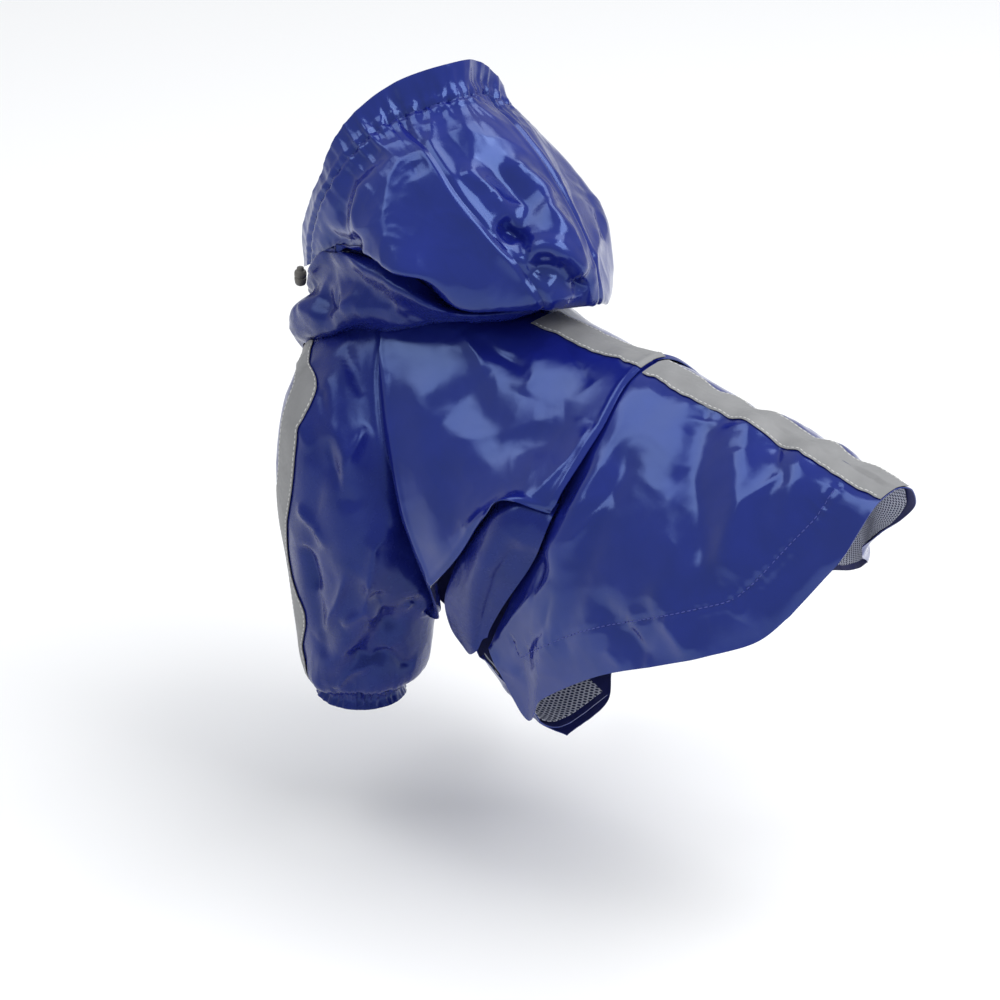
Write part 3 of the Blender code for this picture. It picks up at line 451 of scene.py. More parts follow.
def place_on_line(points, line):
    """Distance of each point to a line, and how far along the line it lies, 0 to 1."""
    nearest = np.full(len(points), np.inf)
    place = np.zeros(len(points))
    lengths = np.linalg.norm(np.diff(line, axis=0), axis=1)
    starts = np.concatenate([[0], np.cumsum(lengths)])
    for start, end, at, length in zip(line[:-1], line[1:], starts, lengths):
        run = end - start
        share = np.clip((points - start) @ run / (run @ run), 0, 1)
        away = np.linalg.norm(points - start - share[:, None] * run, axis=-1)
        closer = away < nearest
        nearest = np.where(closer, away, nearest)
        place = np.where(closer, (at + share * length) / starts[-1], place)
    return nearest, place


def distance_to_line(points, line):
    return place_on_line(points, line)[0]


def near(points, line, reach):
    """Which points lie in the box round a line."""
    return np.all((points > line.min(0) - reach) & (points < line.max(0) + reach), axis=-1)


def lines_of(groups):
    """Height, width and line of each fold in some groups."""
    for folds, side, share, shift in groups:
        for tall, width, *line in folds:
            yield share * tall, width, np.array(line, float) * (side, 1, 1) + shift


def broad_folds(points):
    """The solids' own folds: each is a rounded ridge or trough."""
    height = np.zeros(len(points))
    for tall, width, line in lines_of(BROAD_FOLDS):
        some = near(points, line, REACH * width)
        height[some] += tall * np.exp(-(distance_to_line(points[some], line) / width) ** 2)
    return height


def fine_creases(points):
    """Sharper creases, each fading at its ends."""
    height = np.zeros(len(points))
    for tall, width, line in lines_of(FINE_CREASES):
        some = near(points, line, REACH * width)
        away, along = place_on_line(points[some], line)
        crest = np.exp(-(np.hypot(away, CREST) - CREST) / width)
        height[some] += tall * crest * (1 - np.abs(2 * along - 1) ** TAPER)
    return height


def noise_at(points, size, seed):
    """Smooth noise of a given size at each point, about -1 to 1."""
    shift = Vector((seed, seed * 2, seed * 3))
    return np.array([noise.noise(Vector(p) + shift) for p in points / size])


def crumple(points, sizes, stretch, seed):
    """Uneven sharp-edged wrinkles, the sum of folded noise of several sizes and heights."""
    spread = points * stretch
    bend = np.stack([noise_at(spread, BEND_SIZE, seed + k) for k in range(3)], axis=-1)
    height = np.zeros(len(points))
    for size, tall in sizes:
        value = np.abs(noise_at(spread + bend * BEND_REACH, size, seed + size))
        height += tall * (WRINKLE_TOP - np.minimum(1, value * WRINKLE_STEEP) ** WRINKLE_POWER)
    return height


def seam_dip(away, deep):
    """The height beside a sewn seam: a groove with a low lip along it."""
    lip = deep / 2 * np.exp(-((away - LIP_PLACE) / LIP_WIDTH) ** 2)
    return lip - deep * np.exp(-(away / GROOVE_WIDTH) ** 2)


def gathers(points, line, tall, pitch, reach, seed):
    """Short gathers square to a line: uneven waves along it that die away from it."""
    away, share = place_on_line(points, line)
    along = share * run_lengths(line)[-1]
    steady = np.stack([along / pitch, np.full_like(along, seed), away / (GATHER_LENGTH * reach)],
                      axis=-1)
    sharp = GATHER_TOP - np.minimum(1, np.abs(noise_at(steady, 1.0, seed)) * GATHER_STEEP)
    return tall * sharp * np.exp(-np.maximum(away, 0) / reach)


# ---------------------------------------------------------------- cloth surfaces


@dataclass
class Cloth:
    """A smooth surface through a net. The spine or first column is u = 0."""
    net: np.ndarray
    outward: int = 1
    loop: bool = False
    start: int = 0

    def plain(self, u, v):
        return evaluate(self.net, u + self.start, v, self.loop)

    def outside(self, u, v):
        """Unit direction out of the coat, from the slopes of the plain surface."""
        step = 0.02
        across = self.plain(u + step, v) - self.plain(u - step, v)
        along = self.plain(u, v + step) - self.plain(u, v - step)
        return unit(np.cross(across, along)) * self.outward

    def line(self, u, v):
        """Points along a path on the plain surface."""
        u, v = np.broadcast_arrays(np.asarray(u, float), np.asarray(v, float))
        return self.plain(u, v)


def run_lengths(points):
    """Distance run along a path of points."""
    run = np.cumsum(np.linalg.norm(np.diff(points, axis=0), axis=-1), axis=0)
    return np.concatenate([np.zeros_like(run[:1]), run])


ROUGH_POINTS = 40     # points along a row or column when only its length is wanted


def even_grid(cloth, u_range, v_range, cell=CELL):
    """An even grid over a stretch of a surface, fine enough for its longest row and column."""
    u, v = np.meshgrid(np.linspace(*u_range, ROUGH_POINTS), np.linspace(*v_range, ROUGH_POINTS))
    rough = cloth.plain(u, v)
    tall = run_lengths(rough)[-1].max()
    wide = run_lengths(np.moveaxis(rough, 1, 0))[-1].max()
    return np.meshgrid(np.linspace(*u_range, int(wide / cell) + 2),
                       np.linspace(*v_range, int(tall / cell) + 2))


def between(low, high, v, cell_count):
    """Rows v, each stepped evenly from its own low to its own high column."""
    share = np.linspace(0, 1, cell_count + 1)
    u = np.asarray(low)[:, None] * (1 - share) + np.asarray(high)[:, None] * share
    return u, np.repeat(np.asarray(v)[:, None], cell_count + 1, axis=1)


def column_at(cloth, row, start, end, distance):
    """The column that lies a distance along a row from its start, on the way to its end."""
    fine = np.linspace(start, end, ROUGH_POINTS)
    path = cloth.plain(fine, np.full_like(fine, row))
    return np.interp(distance, run_lengths(path), fine)


@dataclass
class Finish:
    """What shapes a group of pieces: their wrinkles, their sewn seams and their gathers."""
    sizes: tuple                # size and height of each kind of wrinkle
    stretch: tuple = (1, 1, 1)
    seed: int = 1
    seams: tuple = ()
    extra: object = None        # height of what is only on these pieces
    calm_edge: object = None    # share of the wrinkles left near an edge
    deep: float = 0.9           # depth of the sewn grooves

    def height(self, points, folded, u, v):
        """Height over the folded surface: wrinkles and creases, then seams and gathers."""
        height = crumple(folded, self.sizes, self.stretch, self.seed)
        height += fine_creases(folded)
        if self.calm_edge:
            height *= self.calm_edge(u, v)
        calm, dips = np.ones(len(points)), np.zeros(len(points))
        for seam in self.seams:
            some = near(points, seam, SEAM_REACH)
            away = distance_to_line(points[some], seam)
            calm[some] = np.minimum(calm[some], 1 - np.exp(-(away / SEAM_CALM) ** 2))
            dips[some] += seam_dip(away, self.deep)
        height = height * (CALM_LEAST + (1 - CALM_LEAST) * calm) + dips
        if self.extra:
            height += self.extra(points, u, v)
        return height


def formed(cloth, u, v, finish):
    """Points of a finished surface, and its outward directions."""
    outside = cloth.outside(u, v)
    flat, away = cloth.plain(u, v).reshape(-1, 3), outside.reshape(-1, 3)
    folded = flat + away * broad_folds(flat)[:, None]
    height = finish.height(flat, folded, u.ravel(), v.ravel())
    return (folded + away * height[:, None]).reshape(outside.shape), outside


# ---------------------------------------------------------------- meshes


SHARP_EDGE = math.radians(60)   # faces that meet at more than this aren't shaded as one


def quads(rows, columns, ring, first=0):
    """Corner numbers of the quads of a grid, and the grid places of their corners."""
    across = columns if ring else columns - 1
    k, j = np.meshgrid(np.arange(rows - 1), np.arange(across), indexing="ij")
    places = np.stack([np.stack([k, j], -1), np.stack([k, j + 1], -1),
                       np.stack([k + 1, j + 1], -1), np.stack([k + 1, j], -1)], axis=-2)
    places = places.reshape(-1, 4, 2)
    return first + places[..., 0] * columns + places[..., 1] % columns, places


def rims(rows, columns, ring):
    """The faces that join a shell's two grids along its edges, and their corners' grid places."""
    count = rows * columns
    number = np.arange(count).reshape(rows, columns)
    edges = [(number[-1], (rows - 1, None), False), (number[0], (0, None), True)]
    if not ring:
        edges += [(number[:, 0], (None, 0), False), (number[:, -1], (None, columns - 1), True)]
    for path, (row, column), back in edges:
        again = np.append(path, path[0]) if ring else path
        on = np.arange(len(again))
        at = np.stack([on if row is None else on * 0 + row,
                       on if column is None else on * 0 + column], axis=-1)
        face = np.stack([again[:-1], again[:-1] + count, again[1:] + count, again[1:]], axis=-1)
        place = np.stack([at[:-1], at[:-1], at[1:], at[1:]], axis=1)
        order = np.s_[:, ::-1] if back else np.s_[:]
        yield face[order], place[order]


def cloth_mesh(name, outer, inner, ring, made, inside):
    """A closed thin shell: outer and inner grids, and the rims between them."""
    rows, columns = outer.shape[:2]
    face, place = quads(rows, columns, ring)
    rim_faces, rim_places = zip(*rims(rows, columns, ring))
    faces = np.concatenate([face, face[:, ::-1] + rows * columns, *rim_faces])
    places = np.concatenate([place, place[:, ::-1], *rim_places])
    slots = np.zeros(len(faces), int)
    slots[len(face):2 * len(face)] = 1
    points = np.concatenate([outer.reshape(-1, 3), inner.reshape(-1, 3)])
    a, b, c = (points[faces[:, n]] - points.mean(axis=0) for n in range(3))
    if np.einsum("ij,ij->i", a, np.cross(b, c)).sum() < 0:
        faces, places = faces[:, ::-1], places[:, ::-1]
    return solid_mesh(name, points, faces, (made, inside), slots, cut_places(outer, ring, places))


def cut_places(outer, ring, corner_places):
    """Where each face corner lies on the cloth as cut, in millimetres across and along."""
    wrapped = np.concatenate([outer, outer[:, :1]], axis=1) if ring else outer
    across = np.moveaxis(run_lengths(np.moveaxis(wrapped, 1, 0)), 0, 1)
    along = run_lengths(wrapped)
    middle = across[:, across.shape[1] // 2][:, None]
    k, j = corner_places[..., 0], corner_places[..., 1]
    return np.stack([(across - middle)[k, j], along[k, j]], axis=-1)


def solid_mesh(name, points, faces, made, slots=None, cut=None):
    """A mesh object from table millimetres, riding on the coat's one body."""
    places = (points - np.array(WITHERS)) * MM
    mesh = bpy.data.meshes.new(name)
    mesh.vertices.add(len(places))
    mesh.vertices.foreach_set("co", places.ravel())
    size = faces.shape[1]
    mesh.loops.add(faces.size)
    mesh.loops.foreach_set("vertex_index", np.ascontiguousarray(faces).ravel())
    mesh.polygons.add(len(faces))
    mesh.polygons.foreach_set("loop_start", np.arange(0, faces.size, size))
    mesh.polygons.foreach_set("loop_total", np.full(len(faces), size))
    if slots is not None:
        mesh.polygons.foreach_set("material_index", slots)
    mesh.update(calc_edges=True)
    mesh.shade_smooth()
    mesh.set_sharp_from_angle(angle=SHARP_EDGE)
    if cut is not None:
        layer = mesh.uv_layers.new(name="cut_mm")
        layer.data.foreach_set("uv", np.ascontiguousarray(cut).ravel())
    for one in made:
        mesh.materials.append(one)
    piece = bpy.data.objects.new(name, mesh)
    bpy.context.scene.collection.objects.link(piece)
    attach(piece, "root")
    return piece


SHORTEST_CUT = 10.2   # a cuff is cut this deep at least


def cut_size(points, ring):
    """Width, length and area of the cloth that makes a surface, in metres."""
    wrapped = np.concatenate([points, points[:, :1]], axis=1) if ring else points
    wide = run_lengths(np.moveaxis(wrapped, 1, 0))[-1].max()
    tall = max(run_lengths(wrapped)[-1].max(), SHORTEST_CUT)
    one, two = wrapped[1:, 1:] - wrapped[:-1, :-1], wrapped[1:, :-1] - wrapped[:-1, 1:]
    area = np.linalg.norm(np.cross(one, two), axis=-1).sum() / 2
    return (wide * MM, tall * MM), min(area, wide * tall) * MM * MM


def sew(node, cloth, u, v, finish, made, slot, inside=None, thick=CLOTH, lift=0.0, ring=False):
    """One piece of cloth, in place of its solid."""
    points, outside = formed(cloth, u, v, finish)
    outer = points + outside * lift
    piece = cloth_mesh(node + "_cloth", outer, outer - outside * thick, ring, made,
                       inside or made)
    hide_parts(node)
    flat, area = cut_size(outer, ring)
    return piece


def sew_navy(node, cloth, grid, finish, made="navy", ring=False):
    """A piece of the coated nylon, with the bare reverse inside."""
    u, v = (part[:, :-1] for part in grid) if ring else grid
    sew(node, cloth, u, v, finish, LOOKS[made], "coated_navy_cloth", LOOKS["inside"], ring=ring)


def sew_lining(node, cloth, grid, finish):
    """Mesh lining on the inner side of a panel."""
    sew(node, cloth, *grid, finish, LOOKS["mesh"], "mesh_lining", thick=LINING_THICK,
        lift=-(WALL + LAYER_GAP))


def sew_tape(node, cloth, grid, finish, words):
    """A length of reflective tape on a panel, and the stitches down its two edges."""
    sew(node, cloth, *grid, finish, LOOKS["tape"], "reflective_tape", thick=TAPE_THICK,
        lift=TAPE_LIFT)
    points, outside = formed(cloth, *grid, finish)
    for column, word in zip((1, -2), words):
        up = outside[:, column]
        stitches("%s_stitches_%s" % (node, word), points[:, column] + up * TAPE_LIFT, up,
                 LOOKS["pale_thread"], TAPE_THREAD)


# Stitches: length and pitch, half thicknesses of the thread, and how a stitch is rounded:
# places along it and the share of its thickness there.
STITCH_LONG, STITCH_PITCH = 2.2, 3.2
TAPE_THREAD, HEM_THREAD = 0.25, 0.32
STITCH_SHAPE = ((-0.5, 0.45), (-0.3, 1.0), (0.3, 1.0), (0.5, 0.45))
STITCH_SIDES = 6
AIM_STEP = 0.5        # half the length of path that a stitch's direction is taken from


def stitches(name, path, outside, made, thin):
    """A row of sewn stitches along a path, as short rounded threads."""
    run = run_lengths(path)
    turns = np.linspace(0, 2 * math.pi, STITCH_SIDES, endpoint=False)[:, None]
    points, faces = [], []
    for at in np.arange(STITCH_PITCH, run[-1] - STITCH_PITCH, STITCH_PITCH):
        centre, up = at_run(path, run, at), unit(at_run(outside, run, at))
        ahead = unit(at_run(path, run, at + AIM_STEP) - at_run(path, run, at - AIM_STEP))
        girth = np.cos(turns) * np.cross(ahead, up) + np.sin(turns) * up
        first = len(points) * len(STITCH_SHAPE) * STITCH_SIDES
        points.append(np.concatenate([centre + ahead * STITCH_LONG * share + wide * thin * girth
                                      for share, wide in STITCH_SHAPE]))
        faces.append(quads(len(STITCH_SHAPE), STITCH_SIDES, True, first)[0])
    piece = solid_mesh(name, np.concatenate(points), np.concatenate(faces), (made,))


def at_run(values, run, at):
    return np.array([np.interp(at, run, values[:, n]) for n in range(3)])


# ---------------------------------------------------------------- materials

NAVY_DEEP = (0.005, 0.009, 0.115)
NAVY_LIGHT = (0.010, 0.016, 0.19)
NAVY_INSIDE = (0.012, 0.014, 0.06)
SHINE_TINT = (0.36, 0.54, 1.0)
TAPE_LOW, TAPE_HIGH = (0.182, 0.184, 0.188), (0.258, 0.260, 0.266)
# The mesh's white is dimmed as painted shade, for the linings that lie in shade inside the coat.
MESH_SHADED_WHITE, MESH_HOLE = (0.50, 0.52, 0.61), (0.012, 0.016, 0.06)
THREAD_NAVY, THREAD_PALE = (0.05, 0.065, 0.30), (0.62, 0.62, 0.60)
PLASTIC_DARK, PLASTIC_PALE = (0.10, 0.095, 0.085), (0.17, 0.16, 0.145)
HOLE_ACROSS, HOLE_ALONG, HOLE_RADIUS, HOLE_SOFT = 2.4, 2.2, 0.85, 0.12

# Bumps of each look: scale, detail and kind of the noise, strength, depth in millimetres.
NAVY_BUMPS = ((75, 3, "RIDGED_MULTIFRACTAL", 0.10, 0.4), (260, 3, "FBM", 0.2, 0.2),
              (620, 2, "FBM", 0.12, 0.06))
INSIDE_BUMPS = ((75, 3, "FBM", 0.25, 0.5),)
TAPE_BUMPS = ((120, 3, "FBM", 0.25, 0.4), (2500, 1, "FBM", 0.15, 0.05))
MESH_BUMPS = ((90, 2, "FBM", 0.2, 0.5),)
HOLE_BUMP = (0.5, 0.3)
# Weave of each cloth: pitch in millimetres, strength and depth.
NAVY_WEAVE, INSIDE_WEAVE, TAPE_WEAVE = (0.5, 0.05, 0.08), (0.5, 0.2, 0.1), (0.6, 0.15, 0.08)
# Nylon: specular level, share of the colour, and roughness from and to. The dull copy's share below one
# darkens its colour as painted shade, on the sleeves, cuffs, side pieces and neck band.
GLOSSY_NYLON, DULL_SHADED_NYLON = (1.0, 1.0, 0.09, 0.19), (0.6, 0.85, 0.2, 0.32)
TAPE_SHEEN = (0.38, 0.55)             # roughness from and to
# Clouds of colour or gloss: scale and detail of the noise.
NAVY_CLOUDS, NAVY_GLOSS, INSIDE_CLOUDS = (45, 3), (160, 3), (60, 2)
TAPE_CLOUDS, TAPE_GRAIN = (70, 3), (400, 2)
THREAD_GRAIN, PLASTIC_GRAIN = (900, 0.6), (300, 0.45)      # scale of the grain, and roughness


class Look:
    """A Principled material and short ways to add nodes to it."""

    def __init__(self, name, roughness=0.5, specular=0.5):
        self.made = bpy.data.materials.new(name)
        self.made.use_nodes = True
        self.tree = self.made.node_tree
        self.shader = self.tree.nodes["Principled BSDF"]
        self.place = self.add("TexCoord", {}, "Object")
        self.give(self.shader, {"Roughness": roughness, "Specular IOR Level": specular})

    def give(self, node, inputs):
        """Sets a node's inputs, or links those whose value is another node's output."""
        for key, value in inputs.items():
            if isinstance(value, bpy.types.NodeSocket):
                self.tree.links.new(value, node.inputs[key])
            else:
                node.inputs[key].default_value = value

    def add(self, kind, inputs, output=0, **settings):
        node = self.tree.nodes.new("ShaderNode" + kind)
        for name, value in settings.items():
            setattr(node, name, value)
        self.give(node, inputs)
        return node.outputs[output]

    def calc(self, operation, one, two=0.0):
        return self.add("Math", {0: one, 1: two}, operation=operation)

    def noise(self, scale, detail=2, kind="FBM"):
        return self.add("TexNoise", {"Vector": self.place, "Scale": scale, "Detail": detail},
                        noise_type=kind)

    def spread(self, value, low, high, start=0.3, end=0.7):
        return self.add("MapRange", {"Value": value, "From Min": start, "From Max": end,
                                     "To Min": low, "To Max": high})

    def blend(self, share, one, two):
        return self.add("Mix", {"Factor": share, "A": (*one, 1), "B": (*two, 1)}, "Result",
                        data_type="RGBA")

    def colour(self, share, one, two):
        self.give(self.shader, {"Base Color": self.blend(share, one, two)})

    def gloss(self, share, smooth, dull):
        self.give(self.shader, {"Roughness": self.spread(share, smooth, dull)})

    def bump(self, rows, weave=None, first=()):
        """Bumps laid one on the other: first (height, strength, depth), then noise and weave."""
        heights = list(first)
        heights += [(self.noise(*kind), strength, depth) for *kind, strength, depth in rows]
        if weave:
            heights.append((self.weave(weave[0]), *weave[1:]))
        under = {}
        for height, strength, depth in heights:
            top = self.add("Bump", {"Height": height, "Strength": strength,
                                    "Distance": depth * MM, **under})
            under = {"Normal": top}
        self.give(self.shader, under)

    def cut(self):
        """Millimetres across and along the cut cloth."""
        layer = self.add("UVMap", {}, uv_map="cut_mm")
        return [self.add("SeparateXYZ", {0: layer}, side) for side in (0, 1)]

    def weave(self, pitch):
        """Crossing threads of a plain weave."""
        waves = [self.calc("SINE", self.calc("MULTIPLY", side, 2 * math.pi / pitch))
                 for side in self.cut()]
        return self.calc("MULTIPLY", *waves)


def navy_look(name, specular, share, smooth, dull):
    """Coated nylon: deep blue, glossy, with cloudy gloss and small wrinkles. A share below one darkens the
    colour as painted shade.
    """
    look = Look(name, specular=specular)
    look.give(look.shader, {"Specular Tint": (*SHINE_TINT, 1)})
    deep, light = (tuple(share * part for part in colour) for colour in (NAVY_DEEP, NAVY_LIGHT))
    look.colour(look.noise(*NAVY_CLOUDS), deep, light)
    look.gloss(look.noise(*NAVY_GLOSS), smooth, dull)
    look.bump(NAVY_BUMPS, NAVY_WEAVE)
    return look.made


def inside_look():
    """The bare reverse of the nylon."""
    look = Look("navy_reverse", roughness=0.6, specular=0.3)
    look.colour(look.noise(*INSIDE_CLOUDS), NAVY_INSIDE, NAVY_DEEP)
    look.bump(INSIDE_BUMPS, INSIDE_WEAVE)
    return look.made


def tape_look():
    """Retroreflective tape: satin grey with a fine bead grain."""
    look = Look("reflective_grey_tape", specular=0.4)
    look.colour(look.noise(*TAPE_CLOUDS), TAPE_LOW, TAPE_HIGH)
    look.gloss(look.noise(*TAPE_GRAIN), *TAPE_SHEEN)
    look.bump(TAPE_BUMPS, TAPE_WEAVE)
    return look.made


def mesh_look():
    """White mesh lining with staggered round holes, its white dimmed as painted shade."""
    look = Look("white_mesh_lining", roughness=0.75, specular=0.3)
    across, along = look.cut()
    row = look.calc("DIVIDE", along, HOLE_ALONG)
    shift = look.calc("MULTIPLY", look.calc("MODULO", look.calc("FLOOR", row), 2.0), 0.5)
    column = look.calc("ADD", look.calc("DIVIDE", across, HOLE_ACROSS), shift)
    offsets = []
    for place, size in ((column, HOLE_ACROSS), (row, HOLE_ALONG)):
        centred = look.calc("SUBTRACT", look.calc("FRACT", place), 0.5)
        offsets.append(look.calc("POWER", look.calc("MULTIPLY", centred, size), 2.0))
    away = look.calc("SQRT", look.calc("ADD", *offsets))
    hole = look.spread(away, 1.0, 0.0, HOLE_RADIUS - HOLE_SOFT, HOLE_RADIUS + HOLE_SOFT)
    look.colour(hole, MESH_SHADED_WHITE, MESH_HOLE)
    look.bump(MESH_BUMPS, first=[(look.calc("SUBTRACT", 1.0, hole), *HOLE_BUMP)])
    return look.made


def grain_look(name, low, high, scale, roughness):
    """Thread or moulded plastic: two near colours and a fine grain."""
    look = Look(name, roughness=roughness, specular=0.4)
    look.colour(look.noise(scale), low, high)
    look.bump(((scale * 4, 2, "FBM", 0.2, 0.1),))
    return look.made


LOOKS = {
    "navy": navy_look("navy_coated_nylon", *GLOSSY_NYLON),
    # a duller copy of the nylon, its colour darkened as painted shade
    "dull_shaded_navy": navy_look("navy_coated_nylon_dull_shaded", *DULL_SHADED_NYLON),
    "inside": inside_look(),
    "tape": tape_look(),
    "mesh": mesh_look(),
    "navy_thread": grain_look("navy_thread", THREAD_NAVY, THREAD_NAVY, *THREAD_GRAIN),
    "pale_thread": grain_look("pale_thread", THREAD_PALE, THREAD_PALE, *THREAD_GRAIN),
    "plastic": grain_look("lock_plastic", PLASTIC_DARK, PLASTIC_PALE, *PLASTIC_GRAIN),
}

# ---------------------------------------------------------------- pieces

# Wrinkles of each group of pieces: size and height.
BODY_WRINKLES = ((44, 0.45), (15, 0.16))
HOOD_WRINKLES = ((26, 0.8), (11, 0.2))
SLEEVE_WRINKLES = ((28, 0.8), (10, 0.12))
BAND_WRINKLES = ((18, 0.8), (8, 0.3))
SMALL_WRINKLES = ((12, 0.5),)
REAR_TURNING = 0.2    # the turned edge at the rear hem, as a share of the last row's length
FLAP_TURNING = 0.2    # the turned edges of the flap, as shares of its columns and rows
FLAP_END = 0.06
NECK_CALM = 0.7       # the hood's last columns, where it is drawn smooth into the band
UNDER_BAND = 0.35     # how far the hood runs on past its last column, as a share of one
CORNER_TUCK = 5.0     # how far the yoke's rear lower corners turn in, and over what distance
CORNER_REACH = 9.0
UNDER_CREASE = 0.35   # how far a side piece runs on under the skirt
INTO_ARMHOLE = 0.07   # how far the chest runs on behind the sleeves, as a share of its half width
INTO_SLEEVE = -0.8    # the cuff's first ring, inside the sleeve
CUFF_CELL = 0.8       # the cuffs' mesh, finer for their gathers
BODY_SEED, CHEST_SEED, FLAP_SEED, SLEEVE_SEED = 3, 5, 9, 14
CUFF_SEED, HOOD_SEED, BAND_SEED = 8, 17, 23
SLEEVE_STRETCH, CUFF_STRETCH = (1, 1, 0.55), (1, 1, 0.3)
HEM_DIP = 0.35        # depth of the hem's stitched groove
# Gathers: height, pitch, reach from their line, and seed.
HEM_GATHERS = (0.7, 6.5, 5, 4)
CUFF_GATHERS = (2.6, 4.2, 8, 21)
CASING_GATHERS = ((1.3, 8.5, 13, 31), (0.6, 3.4, 5, 37))
HEM_REACH = 20        # how far from the hem's stitches its gathers are drawn
# The casing's gathers: least and added height, and where along it they are deepest.
CASING_LEAST, CASING_MORE, CASING_MIDDLE, CASING_SPREAD = 0.4, 2.2, 0.45, 2.0
# Points along the lines that pieces are folded or sewn on.
SEAM_POINTS, HEM_POINTS, EDGE_POINTS = 20, 24, 30
PANEL_POINTS, LOOP_POINTS, CASING_POINTS = 40, 60, 80
# Spine tape: first row and number of rows of each length.
FRONT_TAPE, REAR_TAPE = (0.8, 90), (0.9, 110)
TAPE_CELLS = 18       # cells across a tape
# How the spine tape's edges waver: seed, reach, and steps of the noise in a row.
TAPE_SEED, TAPE_WAVER, TAPE_WAVER_STEP = 11, 1.3, 3.5
LINING_START, LINING_ROWS, LINING_CELLS = 0.5, 85, 106     # first row, rows, cells across
HEM_THREAD_LIFT = 0.1
# Waves along the spine: height, length and seed; where they are highest beside the tape,
# their share under it, and how they grow towards the tail.
WAVE_TALL, WAVE_LONG, WAVE_SEED = 2.6, 17, 7
WAVE_SIDES, WAVE_PLANE = 3, 2.5       # where in the noise each side's waves are taken
WAVE_BESIDE, WAVE_WIDE, WAVE_UNDER, WAVE_UNDER_WIDE = 9, 8, 0.3, 6
WAVE_FROM, WAVE_OVER, WAVE_LEAST = 60, 150, 0.25


def skirt_cloth():
    net = mirrored(rows_of(SKIRT_ROWS))
    right = rows_of(SKIRT_RIGHT_REAR)[:, :0:-1]
    net[-len(right):, :right.shape[1]] = right
    return Cloth(net, start=len(SKIRT_COLUMNS) - 1)


def armhole_net():
    """The armhole's points and their turns, from the yoke's and the chest's own rows."""
    raglan = rows_of(YOKE_ROWS)[0, YOKE_SEAM_COLUMN:]
    inner = rows_of(CHEST_ROWS)[CHEST_SEAM_ROW::-1, -1]
    points = np.concatenate([[NECK_POINT[:3]], raglan, [row[:3] for row in UNDERARM], inner])
    turns = (NECK_POINT[3], *YOKE_TURNS, *(row[3] for row in UNDERARM), *CHEST_TURNS)
    return points, np.radians(turns)


def ring_points(rings, turns):
    """Points of each ring at the given turns, from the outer side round by the rear."""
    net = []
    for _, x, y, z, out, rear, inner, front, tip_x, tip_y in rings:
        dx = np.cos(turns) * np.where(np.cos(turns) > 0, out, inner)
        dy = np.sin(turns) * np.where(np.sin(turns) > 0, rear, front)
        net.append(np.stack([x + dx, y + dy, z + tip_x * dx + tip_y * dy], axis=-1))
    return np.array(net)


def turned(net):
    """The hood's net with its face edge turned to the dog's right, and its neck edge not."""
    angle = HEAD_TURN * np.linspace(1, 0, net.shape[1])
    x, y, z = np.moveaxis(net, -1, 0)
    return np.stack([x * np.cos(angle) + y * np.sin(angle),
                     y * np.cos(angle) - x * np.sin(angle), z], axis=-1)


def right_twin(table, own_rows):
    """The right-hand twin of a table, with the points that are its own."""
    right = flipped(rows_of(table))
    for k, (name, *_) in enumerate(table):
        own = own_rows.get(name, ())
        right[k, :len(own)] = np.reshape(own, (-1, 3))
    return right


def hood_cloth():
    """Hood: u runs from the face edge to the neck, v from the left chin over to the right."""
    left, right = rows_of(HOOD_ROWS), right_twin(HOOD_ROWS, HOOD_RIGHT_ROWS)
    return Cloth(turned(np.concatenate([left, right[-2::-1]])))


def band_cloth():
    left, right = rows_of(BAND_ROWS), right_twin(BAND_ROWS, BAND_RIGHT_ROWS)
    loop = np.moveaxis(np.concatenate([left, right[-2:0:-1]]), 0, 1)
    return Cloth(loop, outward=-1, loop=True)


def raglan_seams(yoke):
    """The seam between each sleeve and the yoke."""
    columns = np.linspace(YOKE_SEAM_COLUMN, len(YOKE_COLUMNS) - 1, SEAM_POINTS)
    return [yoke.line(side * columns, 0) for side in (1, -1)]


def hem_line(skirt):
    """The skirt's edge, from the left tip round the tail to the right tip."""
    edge, last = len(SKIRT_COLUMNS) - 1, len(SKIRT_ROWS) - 1
    down, over = np.linspace(0, last, HEM_POINTS), np.linspace(edge, -edge, HEM_POINTS)
    return np.concatenate([skirt.line(edge, down), skirt.line(over[1:], last),
                           skirt.line(-edge, down[-2::-1])])


HEM_SEAM_START, HEM_SEAM_END = 0.4, 0.9      # row and column where the seam is first and last
HEM_LOOK_IN, HEM_LOOK_UP = 0.6, 0.4          # how far in the seam is looked for, in shares


def hem_seam(skirt, hem):
    """Places on the skirt, left half, that lie the hem's depth in from its edge."""
    edge, last = len(SKIRT_COLUMNS) - 1, len(SKIRT_ROWS) - 1
    places = []
    fine = np.linspace(0, 1, LOOP_POINTS)
    for row in np.linspace(HEM_SEAM_START, last, LOOP_POINTS):
        columns = edge * (1 - HEM_LOOK_IN * fine)
        away = distance_to_line(skirt.line(columns, row), hem)
        if away.max() > HEM_DEPTH:
            places.append((np.interp(HEM_DEPTH, np.maximum.accumulate(away), columns), row))
    corner = places[-1][0]
    for column in np.linspace(corner, HEM_SEAM_END, EDGE_POINTS)[1:]:
        rows = last * (1 - HEM_LOOK_UP * fine)
        away = distance_to_line(skirt.line(column, rows), hem)
        places.append((column, np.interp(HEM_DEPTH, np.maximum.accumulate(away), rows)))
    return np.array(places)


def spine_waves(points):
    """The cloth along the spine's tape rises and falls unevenly, each side by itself."""
    x, y, _ = points.T
    along = np.stack([y / WAVE_LONG, np.sign(x) * WAVE_SIDES, np.full_like(y, WAVE_PLANE)], -1)
    beside = np.exp(-((np.abs(x) - WAVE_BESIDE) / WAVE_WIDE) ** 2)
    beside += WAVE_UNDER * np.exp(-(x / WAVE_UNDER_WIDE) ** 2)
    grows = np.clip((y - WAVE_FROM) / WAVE_OVER, WAVE_LEAST, 1)
    return WAVE_TALL * noise_at(along, 1.0, WAVE_SEED) * beside * grows


